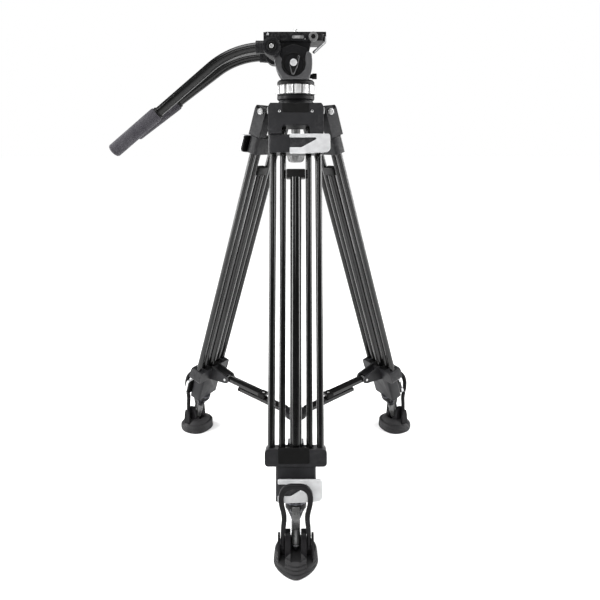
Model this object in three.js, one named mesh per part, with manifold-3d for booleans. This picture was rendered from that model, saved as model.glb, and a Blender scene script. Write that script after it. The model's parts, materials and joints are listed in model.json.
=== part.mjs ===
// Video tripod with a fluid head: twin-tube legs in three stages, a mid-level spreader,
// rubber shoes on the spikes, a bowl mount and a two-bar pan and tilt head.
// Millimetres, +Z up. The tripod's own axis is X = Y = 0 while the parts are made, and the
// finished group is moved so that its base centre is the origin.
import * as THREE from 'three';
import { mergeVertices } from 'three/addons/utils/BufferGeometryUtils.js';
import Module from 'manifold-3d';

const wasm = await Module();
wasm.setup();

const DEG = Math.PI / 180;
const GAP = 0.4; // running clearance between neighbouring pieces
const ROUND = 12; // sides of an ordinary round piece
const FINE = 20; // sides of the large round pieces of the head

// Leg geometry
const PIVOT_RADIUS = 57; // leg hinge, out from the tripod's axis
const LEG_LEAN = 17.73 * DEG; // from the vertical, legs fully spread
const FRONT_LEG_TURN = -90; // azimuth of the first leg, in degrees
const LEG_COUNT = 3;
// Distances along a leg are measured down from its hinge.
const YOKE_HALF = 60; // half width of the yoke casting
const YOKE_DEPTH = 26;
const YOKE_CORNER = 13;
const EAR_INNER = 31.8; // inner face of a hinge ear
const EAR_RADIUS = 14;
const HINGE_PIN_RADIUS = 5;
const WEB_TOP = 15;
const ARCH_TOP = 39;
const ARCH_HALF = 30.4;
const YOKE_END = 58.2;
const APRON = 4; // cover in front of the hinge lug
const INNER_TUBE = { radius: 6.5, wall: 1.4, spacing: 27.6 };
const OUTER_TUBE = { radius: 7.4, wall: 1.5, spacing: 49.4 };
const CENTRE_TUBE = { radius: 12, wall: 1.6 };
const TUBE_SOCKET = 14; // how far a tube enters its casting
const CLAMP_TOP = 59; // upper clamp, top face
const CLAMP_HEIGHT = 39.7;
const CLAMP_DEPTH = 28;
const COLLAR_TOP = 707; // lower collar, top face
const COLLAR_HEIGHT = 32.5;
const COLLAR_HALF = 61.5;
const COLLAR_DEPTH = 37;
const BLOCK_HALF = 39.8; // lower clamp block under the collar
const BLOCK_HEIGHT = 66;
const BLOCK_DEPTH = 33;
const POCKET_DEPTH = 15; // recess that takes the inner tubes' guide
const GUIDE = { half: 36, depth: 30, height: 12 };
const TOP_GUIDE = { start: 134, height: 19.7, half: 20.6, depth: 18 };
// Flip levers: prongs either side of a wedge-shaped boss, a solid finger end
const LEVER = { length: 84.5, height: 42, thickness: 11, prong: 8, tail: 3, tip: 54, lowProng: 12 };
const LEVER_STANDOFF = 2; // from the casting's face to the lever's back
const LEVER_PIN_RADIUS = 2.2;
const UPPER_LEVER_PIVOT = -8; // across the leg
const LOWER_LEVER_PIVOT = -30;
const UPPER_LEVER_TOP = 62;
const LOWER_LEVER_DROP = 21.5; // below the collar's underside
const LOWER_LEVER_TOP = COLLAR_TOP + COLLAR_HEIGHT + LOWER_LEVER_DROP;
// Foot and shoe
const BLOCK_END = COLLAR_TOP + COLLAR_HEIGHT + BLOCK_HEIGHT;
const SPIKE_REACH = 92.5; // of the spike's tip past the lower clamp
const SPIKE_END = BLOCK_END + SPIKE_REACH;
const SPIKE_RADIUS = 8.6;
const SPIKE_CONE = 12;
const FOOT_HEIGHT = 38; // end casting under the lower clamp block
const FOOT_RADIUS = 21;
const TIP_HEIGHT = 23.16; // of the spike's tip above the floor, inside the shoe
const PIVOT_HEIGHT = SPIKE_END * Math.cos(LEG_LEAN) + TIP_HEIGHT;
const TIP_RADIUS = PIVOT_RADIUS + SPIKE_END * Math.sin(LEG_LEAN); // out from the tripod's axis
const TIP_TO_SHOE = 3.5; // the shoe's middle lies this far outward of the tip
const SHOE = { width: 87, length: 96, thickness: 20, centre: TIP_RADIUS + TIP_TO_SHOE };
const SHOE_EAR = { inner: 10, top: 66, depth: 24 };
const STRAP_OFFSET = 4; // outward of the shoe's middle
const STRAP = { outer: 33, width: 8.5, depth: 8.5, centre: 141, top: 28, waist: 27, radius: SHOE.centre + STRAP_OFFSET };
const STRAP_NECK = 21; // half width inside the strap's legs, beside the shoe's ears
const STRAP_HINGE = { height: 36, peg: 3, end: 5.5 }; // pegs on the shoe's ears that the strap turns on
// Spreader
const RAIL_HINGE_DROP = 9.7; // below the collar's top face
const RAIL_HINGE = { along: COLLAR_TOP + RAIL_HINGE_DROP, inside: 65.1 }; // in the leg's own frame
const RAIL_PIVOT = {
  radius: PIVOT_RADIUS + RAIL_HINGE.along * Math.sin(LEG_LEAN) - RAIL_HINGE.inside * Math.cos(LEG_LEAN),
  height: PIVOT_HEIGHT - RAIL_HINGE.along * Math.cos(LEG_LEAN) - RAIL_HINGE.inside * Math.sin(LEG_LEAN),
};
const SPREAD_SLOPE = 9.5 * DEG;
const RAIL = { width: 22, height: 9, inner: 90 };
const ARM_TO_HINGE = 39.3; // from the arm's outer end to the rail's hinge
const ARM = { outer: RAIL_PIVOT.radius - ARM_TO_HINGE, drop: 12.5 }; // drop: from the rail's middle down to the arm's
const HUB = { radius: 29, height: 15 };
const HUB_SINK = 4; // the hub lies this far below the arms' inner ends
const BRACKET = { thickness: 5, reach: 10 };
const RAIL_PIN_RADIUS = 3.5;

// Crown (tripod top casting with its bowl) and the fluid head. They are drawn with the leg
// hinges at CROWN_PIVOT, and the finished group is moved to the legs' real hinge height.
const CROWN_PIVOT = 878.5;
const BOWL_RADIUS = 37.5;
const CROWN = { top: 893, radius: 45, bottom: 851 };
const LUG_RADIUS = 13.4;
const NECK = { radius: 39.8, top: 903.3 };
const LOWER_RING = { radius: 42.7, top: 916.4 };
const DRAG_RING = { radius: 46, top: 937, flutes: 15, groove: 2.6 };
const UPPER_RING = { radius: 42.5, top: 948.6 };
const SPIGOT_RADIUS = 22; // pan bearing inside the drag ring
const CLAMP_STEM_RADIUS = 10.4;
const CLAMP_KNOB = { radius: 21, top: 800, bottom: 763 };
const TILT_AXIS = { x: -5, z: 980 };
const TILT_AXLE_RADIUS = 9;
const CHEEK = { inner: 33, outer: 45, radius: 45 };
const TILT_CORE = { half: 32, radius: 26.5 };
const HEAD_BOTTOM = 1028.4; // underside of the plate clamp
const HEAD_TOP = 1044;
const PLATE_CLAMP = { back: -66, front: 61, half: 40 };
const PLATE = { half: 67, halfWidth: 26, bottom: 1039, top: 1050, foot: 30 };
const CAMERA_SCREW = { radius: 4.75, top: 1060, head: 11 };
const ROSETTE = { x: -51.5, z: 1010, radius: 19.4, inner: 45.8, outer: 52 };
const SOCKET_WIDTH = 30;
const BAR = { radius: 10.5, lead: 16, bend: 185, turn: 39.3 };
const BAR_STRAIGHT = { near: 279, far: 249 };
const FAR_BAR_RAISE = 3.3; // degrees that the far bar stands higher
const GRIP = { radius: 15.5, length: 132, cap: 5 };

const finish = {
  anodised: { color: 0x151517, roughness: 0.32, metalness: 0.75 },
  casting: { color: 0x2c2c2f, roughness: 0.5, metalness: 0.35 },
  silver: { color: 0xd9dbde, roughness: 0.35, metalness: 0.6 },
  steel: { color: 0xb4b6b9, roughness: 0.3, metalness: 0.95 },
  plastic: { color: 0x1f1f21, roughness: 0.55, metalness: 0 },
  rubber: { color: 0x2f2f31, roughness: 0.85, metalness: 0 },
  foam: { color: 0x4c4a50, roughness: 0.95, metalness: 0 },
};

const model = new THREE.Group();
const top = new THREE.Group();
top.position.z = PIVOT_HEIGHT - CROWN_PIVOT;
model.add(top);

// ---- solids -------------------------------------------------------------------------

function solidOf(geometry) {
  const bare = geometry.clone();
  bare.deleteAttribute('normal');
  bare.deleteAttribute('uv');
  const merged = mergeVertices(bare, 1e-4);
  const index = merged.index.array;
  const triangles = [];
  for (let i = 0; i < index.length; i += 3) {
    const [a, b, c] = [index[i], index[i + 1], index[i + 2]];
    if (a !== b && b !== c && c !== a) triangles.push(a, b, c);
  }
  const mesh = new wasm.Mesh({
    numProp: 3,
    vertProperties: new Float32Array(merged.attributes.position.array),
    triVerts: new Uint32Array(triangles),
  });
  return new wasm.Manifold(mesh);
}

function geometryOf(solid) {
  const mesh = solid.getMesh();
  const geometry = new THREE.BufferGeometry();
  geometry.setAttribute('position', new THREE.BufferAttribute(mesh.vertProperties, 3));
  geometry.setIndex(new THREE.BufferAttribute(mesh.triVerts, 1));
  return geometry;
}

function join(...geometries) {
  return geometryOf(geometries.map(solidOf).reduce((whole, piece) => whole.add(piece)));
}

function cut(body, ...tools) {
  return geometryOf(tools.map(solidOf).reduce((whole, tool) => whole.subtract(tool), solidOf(body)));
}

function common(a, b) {
  return geometryOf(solidOf(a).intersect(solidOf(b)));
}

function place(name, geometry, look, parent = top) {
  const mesh = new THREE.Mesh(geometryOf(solidOf(geometry)), new THREE.MeshStandardMaterial(finish[look]));
  mesh.name = name;
  parent.add(mesh);
  return mesh;
}

// Geometry made along +Z, turned to run along another axis
function along(geometry, axis) {
  if (axis === 'x') geometry.rotateY(Math.PI / 2);
  if (axis === 'y') geometry.rotateX(-Math.PI / 2);
  return geometry;
}

function box(x0, x1, y0, y1, z0, z1) {
  const geometry = new THREE.BoxGeometry(x1 - x0, y1 - y0, z1 - z0);
  return geometry.translate((x0 + x1) / 2, (y0 + y1) / 2, (z0 + z1) / 2);
}

function rod(radius, start, end, axis = 'z', sides = ROUND) {
  const geometry = new THREE.CylinderGeometry(radius, radius, end - start, sides);
  geometry.rotateX(Math.PI / 2).translate(0, 0, (start + end) / 2);
  return along(geometry, axis);
}

// A profile of [radius, height] points turned about Z
function turned(points, sides = ROUND) {
  const geometry = new THREE.LatheGeometry(points.map(([r, z]) => new THREE.Vector2(r, z)), sides);
  return geometry.rotateX(Math.PI / 2);
}

function tube(radius, wall, start, end) {
  const inner = radius - wall;
  return turned([[inner, start], [radius, start], [radius, end], [inner, end], [inner, start]]);
}

function outline(points) {
  return new THREE.Shape(points.map(([x, y]) => new THREE.Vector2(x, y)));
}

function roundedRect(x0, x1, y0, y1, corner) {
  const shape = new THREE.Shape();
  shape.moveTo(x0 + corner, y0);
  shape.lineTo(x1 - corner, y0);
  shape.absarc(x1 - corner, y0 + corner, corner, -90 * DEG, 0);
  shape.lineTo(x1, y1 - corner);
  shape.absarc(x1 - corner, y1 - corner, corner, 0, 90 * DEG);
  shape.lineTo(x0 + corner, y1);
  shape.absarc(x0 + corner, y1 - corner, corner, 90 * DEG, 180 * DEG);
  shape.lineTo(x0, y0 + corner);
  shape.absarc(x0 + corner, y0 + corner, corner, 180 * DEG, 270 * DEG);
  return shape;
}

function extrude(shape, depth) {
  return new THREE.ExtrudeGeometry(shape, { depth, bevelEnabled: false, curveSegments: 2 });
}

// An outline in X and Y, from z0 to z1
function flatPlate(shape, z0, z1) {
  return extrude(shape, z1 - z0).translate(0, 0, z0);
}

// An outline in X and Z, from y0 to y1
function frontPlate(shape, y0, y1) {
  return extrude(shape, y1 - y0).rotateX(Math.PI / 2).translate(0, y1, 0);
}

// An outline in Y and Z, from x0 to x1
function sidePlate(shape, x0, x1) {
  const turn = new THREE.Matrix4().makeBasis(
    new THREE.Vector3(0, 1, 0), new THREE.Vector3(0, 0, 1), new THREE.Vector3(1, 0, 0));
  return extrude(shape, x1 - x0).applyMatrix4(turn).translate(x0, 0, 0);
}

const onBothSides = (make) => [make(-1), make(1)];

// ---- legs ---------------------------------------------------------------------------
// In a leg's own frame X runs across the leg, -Y points outward and Z up along the leg,
// so a distance s down the leg is at z = -s.

function yoke() {
  const back = YOKE_DEPTH / 2;
  const front = -EAR_RADIUS - APRON;
  const ear = roundedRect(-EAR_RADIUS - 1, back, -ARCH_TOP, EAR_RADIUS, EAR_RADIUS - 2);
  const ears = onBothSides((side) => sidePlate(ear, side < 0 ? -YOKE_HALF : EAR_INNER,
    side < 0 ? -EAR_INNER : YOKE_HALF));
  const web = box(-YOKE_HALF, YOKE_HALF, front + 2, back, -ARCH_TOP, -WEB_TOP);
  const arms = box(-YOKE_HALF, YOKE_HALF, front + 2, back, -YOKE_END, -ARCH_TOP + 1);
  const apron = box(-YOKE_HALF, YOKE_HALF, front, -EAR_RADIUS, -YOKE_END, EAR_RADIUS - 3);
  const arch = frontPlate(roundedRect(-ARCH_HALF, ARCH_HALF, -YOKE_END - 20, -ARCH_TOP, 6), front - 1, back + 1);
  const bores = onBothSides((side) => rod(INNER_TUBE.radius + GAP, -YOKE_END - 1, -ARCH_TOP + TUBE_SOCKET)
    .translate(side * INNER_TUBE.spacing, 0, 0));
  const pinBore = rod(HINGE_PIN_RADIUS + GAP, -YOKE_HALF - 5, YOKE_HALF + 5, 'x');
  const silhouette = frontPlate(roundedRect(-YOKE_HALF, YOKE_HALF, -YOKE_END - YOKE_CORNER, EAR_RADIUS, YOKE_CORNER),
    front - 1, back + 1);
  return cut(common(join(web, arms, apron, ...ears), silhouette), arch, ...bores, pinBore);
}

function innerTubes() {
  const top = -ARCH_TOP + TUBE_SOCKET - GAP;
  const guideTop = -COLLAR_TOP - 1.5;
  const tubes = onBothSides((side) => tube(INNER_TUBE.radius, INNER_TUBE.wall, guideTop - 2, top)
    .translate(side * INNER_TUBE.spacing, 0, 0));
  const plate = flatPlate(roundedRect(-GUIDE.half, GUIDE.half, -GUIDE.depth / 2, GUIDE.depth / 2, 5),
    guideTop - GUIDE.height, guideTop);
  const passage = rod(CENTRE_TUBE.radius + GAP, guideTop - GUIDE.height - 1, guideTop + 1);
  return join(cut(plate, passage), ...tubes);
}

// Wedge boss that carries a lever's hinge pin, between the lever's two prongs
function leverBoss(pivot, top, face) {
  const upper = -top - LEVER.prong - GAP;
  const lower = -top - LEVER.height + LEVER.lowProng + GAP;
  const tip = pivot + LEVER.tip - 3;
  const wedge = outline([[pivot - 4, lower], [pivot + 22, lower], [tip, upper - 3], [tip, upper], [pivot - 4, upper]]);
  const front = face - LEVER_STANDOFF - LEVER.thickness + 2;
  const boss = frontPlate(wedge, front, face + 1);
  const pin = rod(LEVER_PIN_RADIUS, -top - LEVER.height + 1, -top - 1)
    .translate(pivot, leverPinY(face), 0);
  return [boss, pin];
}

const leverPinY = (face) => face - LEVER_STANDOFF - LEVER.thickness / 2;

function flipLever(pivot, top, face) {
  const left = pivot - LEVER.tail;
  const right = left + LEVER.length;
  const z1 = -top;
  const z0 = -top - LEVER.height;
  const tip = pivot + LEVER.tip;
  const shape = outline([
    [left, z1], [right - 5, z1], [right, z1 - 5], [right, z0 + 8], [right - 6, z0 + 3], [pivot + 30, z0],
    [left, z0], [left, z0 + LEVER.lowProng], [pivot + 22, z0 + LEVER.lowProng], [tip, z1 - LEVER.prong - 4],
    [tip, z1 - LEVER.prong], [left, z1 - LEVER.prong]]);
  const back = face - LEVER_STANDOFF;
  const body = frontPlate(shape, back - LEVER.thickness, back);
  const bore = rod(LEVER_PIN_RADIUS + GAP, z0 - 1, z1 + 1).translate(pivot, leverPinY(face), 0);
  const boss = rod(LEVER.thickness / 2 - 0.5, z0, z1).translate(pivot, leverPinY(face), 0);
  const gapBetween = box(pivot - 8, pivot + 8, face - 20, face, z0 + LEVER.lowProng, z1 - LEVER.prong);
  return cut(join(body, boss), gapBetween, bore);
}

const clampFace = -CLAMP_DEPTH / 2;
const blockFace = -BLOCK_DEPTH / 2;

function upperClamp() {
  const bottom = -CLAMP_TOP - CLAMP_HEIGHT;
  const body = flatPlate(roundedRect(-YOKE_HALF, YOKE_HALF, clampFace, -clampFace, 7), bottom, -CLAMP_TOP);
  const slides = onBothSides((side) => rod(INNER_TUBE.radius + GAP, bottom - 1, -CLAMP_TOP + 1)
    .translate(side * INNER_TUBE.spacing, 0, 0));
  const sockets = onBothSides((side) => rod(OUTER_TUBE.radius + GAP, bottom - 1, bottom + 2 * TUBE_SOCKET)
    .translate(side * OUTER_TUBE.spacing, 0, 0));
  const whole = join(body, ...leverBoss(UPPER_LEVER_PIVOT, UPPER_LEVER_TOP, clampFace));
  return cut(whole, ...slides, ...sockets);
}

function outerTube(side) {
  const top = -CLAMP_TOP - CLAMP_HEIGHT + 2 * TUBE_SOCKET - GAP;
  const bottom = -COLLAR_TOP - TUBE_SOCKET + GAP;
  return tube(OUTER_TUBE.radius, OUTER_TUBE.wall, bottom, top).translate(side * OUTER_TUBE.spacing, 0, 0);
}

function lowerClamp() {
  const collarBottom = -COLLAR_TOP - COLLAR_HEIGHT;
  const blockBottom = collarBottom - BLOCK_HEIGHT;
  const collar = frontPlate(roundedRect(-COLLAR_HALF, COLLAR_HALF, collarBottom, -COLLAR_TOP, 7),
    -COLLAR_DEPTH / 2, COLLAR_DEPTH / 2);
  const block = flatPlate(roundedRect(-BLOCK_HALF, BLOCK_HALF, blockFace, -blockFace, 6), blockBottom,
    collarBottom + 2);
  const earInner = RAIL.width / 2 + GAP;
  const ear = outline([
    [COLLAR_DEPTH / 2 - 4, -RAIL_HINGE.along + 14], [RAIL_HINGE.inside + 4, -RAIL_HINGE.along + BRACKET.reach],
    [RAIL_HINGE.inside + BRACKET.reach, -RAIL_HINGE.along + 4], [RAIL_HINGE.inside + BRACKET.reach, -RAIL_HINGE.along - 5],
    [RAIL_HINGE.inside + 2, -RAIL_HINGE.along - BRACKET.reach], [BLOCK_DEPTH / 2 - 4, -RAIL_HINGE.along - 26]]);
  const ears = onBothSides((side) => sidePlate(ear, side < 0 ? -earInner - BRACKET.thickness : earInner,
    side < 0 ? -earInner : earInner + BRACKET.thickness));
  const pinBore = rod(RAIL_PIN_RADIUS + GAP, -40, 40, 'x').translate(0, RAIL_HINGE.inside, -RAIL_HINGE.along);
  const half = GUIDE.half + GAP;
  const deep = GUIDE.depth / 2 + GAP;
  const pocket = flatPlate(roundedRect(-half, half, -deep, deep, 5), -COLLAR_TOP - POCKET_DEPTH, -COLLAR_TOP + 1);
  const sockets = onBothSides((side) => rod(OUTER_TUBE.radius + GAP, -COLLAR_TOP - TUBE_SOCKET, -COLLAR_TOP + 1)
    .translate(side * OUTER_TUBE.spacing, 0, 0));
  const slide = rod(CENTRE_TUBE.radius + GAP, blockBottom - 1, -COLLAR_TOP + 1);
  const whole = join(collar, block, ...ears, ...leverBoss(LOWER_LEVER_PIVOT, LOWER_LEVER_TOP, blockFace));
  return cut(whole, pocket, ...sockets, slide, pinBore);
}

function centreTube() {
  const bottom = -BLOCK_END - FOOT_HEIGHT / 2;
  const stem = tube(CENTRE_TUBE.radius, CENTRE_TUBE.wall, bottom, -TOP_GUIDE.start - TOP_GUIDE.height + 2);
  const guideBottom = -TOP_GUIDE.start - TOP_GUIDE.height;
  const shape = roundedRect(-TOP_GUIDE.half, TOP_GUIDE.half, -TOP_GUIDE.depth / 2, TOP_GUIDE.depth / 2, 4);
  const guide = flatPlate(shape, guideBottom, -TOP_GUIDE.start);
  return join(stem, guide);
}

function foot() {
  const top = -BLOCK_END - GAP;
  const end = -BLOCK_END - FOOT_HEIGHT;
  const body = turned([[0, -SPIKE_END], [SPIKE_RADIUS * 0.35, -SPIKE_END], [SPIKE_RADIUS, -SPIKE_END + SPIKE_CONE],
    [SPIKE_RADIUS, end], [FOOT_RADIUS - 6, end + 15], [FOOT_RADIUS, end + 24], [FOOT_RADIUS, top], [0, top]]);
  const socket = rod(CENTRE_TUBE.radius + GAP, -BLOCK_END - FOOT_HEIGHT / 2 - 1, top + 1);
  return cut(body, socket);
}

// The shoe stands upright on the floor; Y is measured from the tripod's axis, outward negative.
function shoePad() {
  const halfWidth = SHOE.width / 2;
  const halfLength = SHOE.length / 2;
  const rim = new THREE.Shape();
  rim.moveTo(-halfWidth, 0);
  rim.bezierCurveTo(-halfWidth, -halfLength * 0.45, -halfWidth * 0.35, -halfLength, 0, -halfLength);
  rim.bezierCurveTo(halfWidth * 0.35, -halfLength, halfWidth, -halfLength * 0.45, halfWidth, 0);
  rim.bezierCurveTo(halfWidth, halfLength * 0.7, halfWidth * 0.6, halfLength, 0, halfLength);
  rim.bezierCurveTo(-halfWidth * 0.6, halfLength, -halfWidth, halfLength * 0.7, -halfWidth, 0);
  const sole = new THREE.ExtrudeGeometry(rim, {
    depth: SHOE.thickness - 12, bevelEnabled: true, bevelThickness: 6, bevelSize: 5, bevelOffset: -5,
    bevelSegments: 1, curveSegments: 4 });
  sole.translate(0, 0, 6);
  const dome = new THREE.ExtrudeGeometry(rim, {
    depth: 6, bevelEnabled: true, bevelThickness: 10, bevelSize: 16, bevelOffset: -19,
    bevelSegments: 1, curveSegments: 4 });
  dome.translate(0, 0, SHOE.thickness - 1);
  const earShape = outline([
    [-SHOE_EAR.depth / 2 - 6, 14], [SHOE_EAR.depth / 2 + 6, 14], [SHOE_EAR.depth / 2, SHOE_EAR.top - 8],
    [SHOE_EAR.depth / 2 - 6, SHOE_EAR.top], [-SHOE_EAR.depth / 2 + 6, SHOE_EAR.top],
    [-SHOE_EAR.depth / 2, SHOE_EAR.top - 8]]);
  const earOuter = STRAP_NECK - GAP;
  const ears = onBothSides((side) => sidePlate(earShape, side < 0 ? -earOuter : SHOE_EAR.inner,
    side < 0 ? -SHOE_EAR.inner : earOuter));
  const notchEnd = STRAP_NECK + STRAP.width + GAP;
  const strapLine = SHOE.centre - STRAP.radius;
  const notches = onBothSides((side) => box(side < 0 ? -notchEnd : earOuter, side < 0 ? -earOuter : notchEnd,
    -SHOE.length, strapLine + STRAP_HINGE.end + GAP, STRAP_HINGE.height - STRAP_HINGE.end - GAP, SHOE_EAR.top));
  const pegs = onBothSides((side) => rod(STRAP_HINGE.peg, -notchEnd / 2 + 6, notchEnd / 2 - 6, 'x')
    .translate(side * (notchEnd / 2 + 8), strapLine, STRAP_HINGE.height));
  const well = box(-SHOE_EAR.inner, SHOE_EAR.inner, -SHOE.length / 2 + 20, 26, SHOE.thickness, SHOE_EAR.top + 10);
  const pad = cut(join(sole, dome, ...ears), well, ...notches);
  return join(pad, ...pegs).translate(0, -SHOE.centre, 0);
}

// Rubber loop that pulls the shoe onto the foot, widest around its finger hole
function shoeStrap() {
  const inside = STRAP.outer - STRAP.width;
  const foot = STRAP_HINGE.height;
  const contour = (wide, waist, neck, top) => [
    [-neck, foot], [-neck, SHOE_EAR.top + 4], [-waist, STRAP.centre - 43], [-wide, STRAP.centre - 13],
    [-wide, STRAP.centre + 4], [-wide * 0.8, STRAP.centre + top * 0.68], [-wide * 0.35, STRAP.centre + top],
    [wide * 0.35, STRAP.centre + top], [wide * 0.8, STRAP.centre + top * 0.68], [wide, STRAP.centre + 4],
    [wide, STRAP.centre - 13], [waist, STRAP.centre - 43], [neck, SHOE_EAR.top + 4], [neck, foot]];
  const outside = contour(STRAP.outer, STRAP.waist, STRAP_NECK + STRAP.width, STRAP.top);
  const hole = contour(inside, STRAP.waist - STRAP.width, STRAP_NECK, STRAP.top - STRAP.width).reverse();
  const ring = frontPlate(outline([...outside, ...hole]), -STRAP.depth / 2, STRAP.depth / 2);
  const end = STRAP_NECK + STRAP.width;
  const eyes = onBothSides((side) => rod(STRAP_HINGE.end, side < 0 ? -end : STRAP_NECK, side < 0 ? -STRAP_NECK : end,
    'x').translate(0, 0, STRAP_HINGE.height));
  const holes = rod(STRAP_HINGE.peg + GAP, -end - 1, end + 1, 'x').translate(0, 0, STRAP_HINGE.height);
  return cut(join(ring, ...eyes), holes).translate(0, -STRAP.radius, 0);
}

function spreaderRail() {
  const length = (RAIL_PIVOT.radius - RAIL.inner) / Math.cos(SPREAD_SLOPE);
  const half = RAIL.width / 2;
  const bar = box(-half, half, -6, length, -RAIL.height / 2, RAIL.height / 2);
  const pin = rod(RAIL_PIN_RADIUS, -half - BRACKET.thickness - 1, half + BRACKET.thickness + 1, 'x');
  const rail = join(bar, pin);
  return rail.rotateX(-SPREAD_SLOPE).translate(0, -RAIL_PIVOT.radius, RAIL_PIVOT.height);
}

// An arm lies parallel to its rail, under it
const armHeightAt = (radius) => RAIL_PIVOT.height - (RAIL_PIVOT.radius - radius) * Math.tan(SPREAD_SLOPE)
  - ARM.drop / Math.cos(SPREAD_SLOPE);

function spreaderArm() {
  const length = (ARM.outer - HUB.radius - GAP) / Math.cos(SPREAD_SLOPE);
  const half = RAIL.width / 2;
  const bar = box(-half, half, 0, length, -RAIL.height / 2, RAIL.height / 2);
  return bar.rotateX(-SPREAD_SLOPE).translate(0, -ARM.outer, armHeightAt(ARM.outer));
}

function spreaderHub() {
  const middle = armHeightAt(HUB.radius) - HUB_SINK;
  const bottom = middle - HUB.height / 2;
  return turned([[0, bottom], [HUB.radius - 5, bottom], [HUB.radius - 2, bottom + 4],
    [HUB.radius - 2, middle + HUB.height / 2 - 5], [HUB.radius - 6, middle + HUB.height / 2 - 1.5],
    [0, middle + HUB.height / 2 - 1.5]], FINE);
}

function leg(number) {
  const turn = new THREE.Group();
  turn.rotation.z = (FRONT_LEG_TURN + 90 + (number - 1) * 360 / LEG_COUNT) * DEG;
  model.add(turn);
  const lean = new THREE.Group();
  lean.position.set(0, -PIVOT_RADIUS, PIVOT_HEIGHT);
  lean.rotation.x = -LEG_LEAN;
  turn.add(lean);
  const name = (piece) => `leg_${number}_${piece}`;
  place(name('yoke'), yoke(), 'casting', lean);
  place(name('inner_tubes'), innerTubes(), 'anodised', lean);
  place(name('upper_clamp'), upperClamp(), 'casting', lean);
  place(name('upper_lever'), flipLever(UPPER_LEVER_PIVOT, UPPER_LEVER_TOP, clampFace), 'silver', lean);
  place(name('outer_tube_left'), outerTube(-1), 'anodised', lean);
  place(name('outer_tube_right'), outerTube(1), 'anodised', lean);
  place(name('lower_clamp'), lowerClamp(), 'casting', lean);
  place(name('lower_lever'), flipLever(LOWER_LEVER_PIVOT, LOWER_LEVER_TOP, blockFace), 'silver', lean);
  place(name('centre_tube'), centreTube(), 'anodised', lean);
  place(name('foot'), foot(), 'casting', lean);
  place(name('shoe_pad'), shoePad(), 'rubber', turn);
  place(name('shoe_strap'), shoeStrap(), 'rubber', turn);
  place(name('spreader_rail'), spreaderRail(), 'anodised', turn);
  place(`spreader_arm_${number}`, spreaderArm(), 'anodised', turn);
}

// ---- crown and bowl clamp -----------------------------------------------------------

function crown() {
  const seat = BOWL_RADIUS + GAP;
  const depth = seat * 0.86;
  const bowl = turned([[CROWN.radius - 4, CROWN.bottom], [CROWN.radius, CROWN.bottom + 5],
    [CROWN.radius, CROWN.top], [seat + 3, CROWN.top], [seat, CROWN.top - 8],
    [seat * 0.87, CROWN.top - 8 - seat * 0.5], [seat * 0.5, CROWN.top - 8 - depth],
    [seat * 0.5, CROWN.bottom], [CROWN.radius - 4, CROWN.bottom]], FINE);
  const parts = [bowl];
  for (let i = 0; i < LEG_COUNT; i++) {
    const turn = (FRONT_LEG_TURN + 90 + i * 360 / LEG_COUNT) * DEG;
    const half = EAR_INNER - GAP;
    const lug = box(-half, half, -PIVOT_RADIUS, -CROWN.radius + 6, CROWN_PIVOT - LUG_RADIUS,
      CROWN_PIVOT + LUG_RADIUS);
    const eye = rod(LUG_RADIUS, -half, half, 'x').translate(0, -PIVOT_RADIUS, CROWN_PIVOT);
    const pin = rod(HINGE_PIN_RADIUS, -YOKE_HALF - 1.5, YOKE_HALF + 1.5, 'x')
      .translate(0, -PIVOT_RADIUS, CROWN_PIVOT);
    parts.push(...[lug, eye, pin].map((piece) => piece.rotateZ(turn)));
  }
  return join(...parts);
}

function bowlClampKnob() {
  const top = CROWN.bottom - GAP;
  const { radius, top: shoulder, bottom } = CLAMP_KNOB;
  return turned([[0, bottom], [radius * 0.6, bottom], [radius * 0.9, bottom + 5], [radius, bottom + 12],
    [radius, shoulder - 10], [radius * 0.7, shoulder], [CLAMP_STEM_RADIUS, shoulder + 2],
    [CLAMP_STEM_RADIUS, top - 6], [BOWL_RADIUS * 0.8, top - 3], [BOWL_RADIUS * 0.8, top], [0, top]]);
}

// ---- fluid head ---------------------------------------------------------------------

// Fixed lower part: half ball in the bowl, neck, lower ring and the pan bearing's spigot
function panBase() {
  const ball = BOWL_RADIUS;
  const centre = CROWN.top - 8;
  return turned([[0, centre - ball * 0.8], [ball * 0.45, centre - ball * 0.8], [ball * 0.82, centre - ball * 0.5],
    [ball, centre], [ball, CROWN.top + GAP], [NECK.radius, CROWN.top + GAP], [NECK.radius, NECK.top],
    [LOWER_RING.radius, NECK.top + 2], [LOWER_RING.radius, LOWER_RING.top], [SPIGOT_RADIUS, LOWER_RING.top],
    [SPIGOT_RADIUS, DRAG_RING.top - 2], [0, DRAG_RING.top - 2]], FINE);
}

function dragRing() {
  const inner = SPIGOT_RADIUS + GAP;
  const bottom = LOWER_RING.top + GAP;
  const ring = turned([[inner, bottom], [DRAG_RING.radius - 1, bottom], [DRAG_RING.radius, bottom + 1],
    [DRAG_RING.radius, DRAG_RING.top - 1], [DRAG_RING.radius - 1, DRAG_RING.top], [inner, DRAG_RING.top],
    [inner, bottom]], FINE);
  const grooves = [];
  for (let i = 0; i < DRAG_RING.flutes; i++) {
    const groove = rod(DRAG_RING.groove, bottom - 1, DRAG_RING.top + 1, 'z', 6);
    grooves.push(groove.translate(DRAG_RING.radius + 1.2, 0, 0).rotateZ(i * 2 * Math.PI / DRAG_RING.flutes));
  }
  return cut(ring, ...grooves);
}

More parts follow.
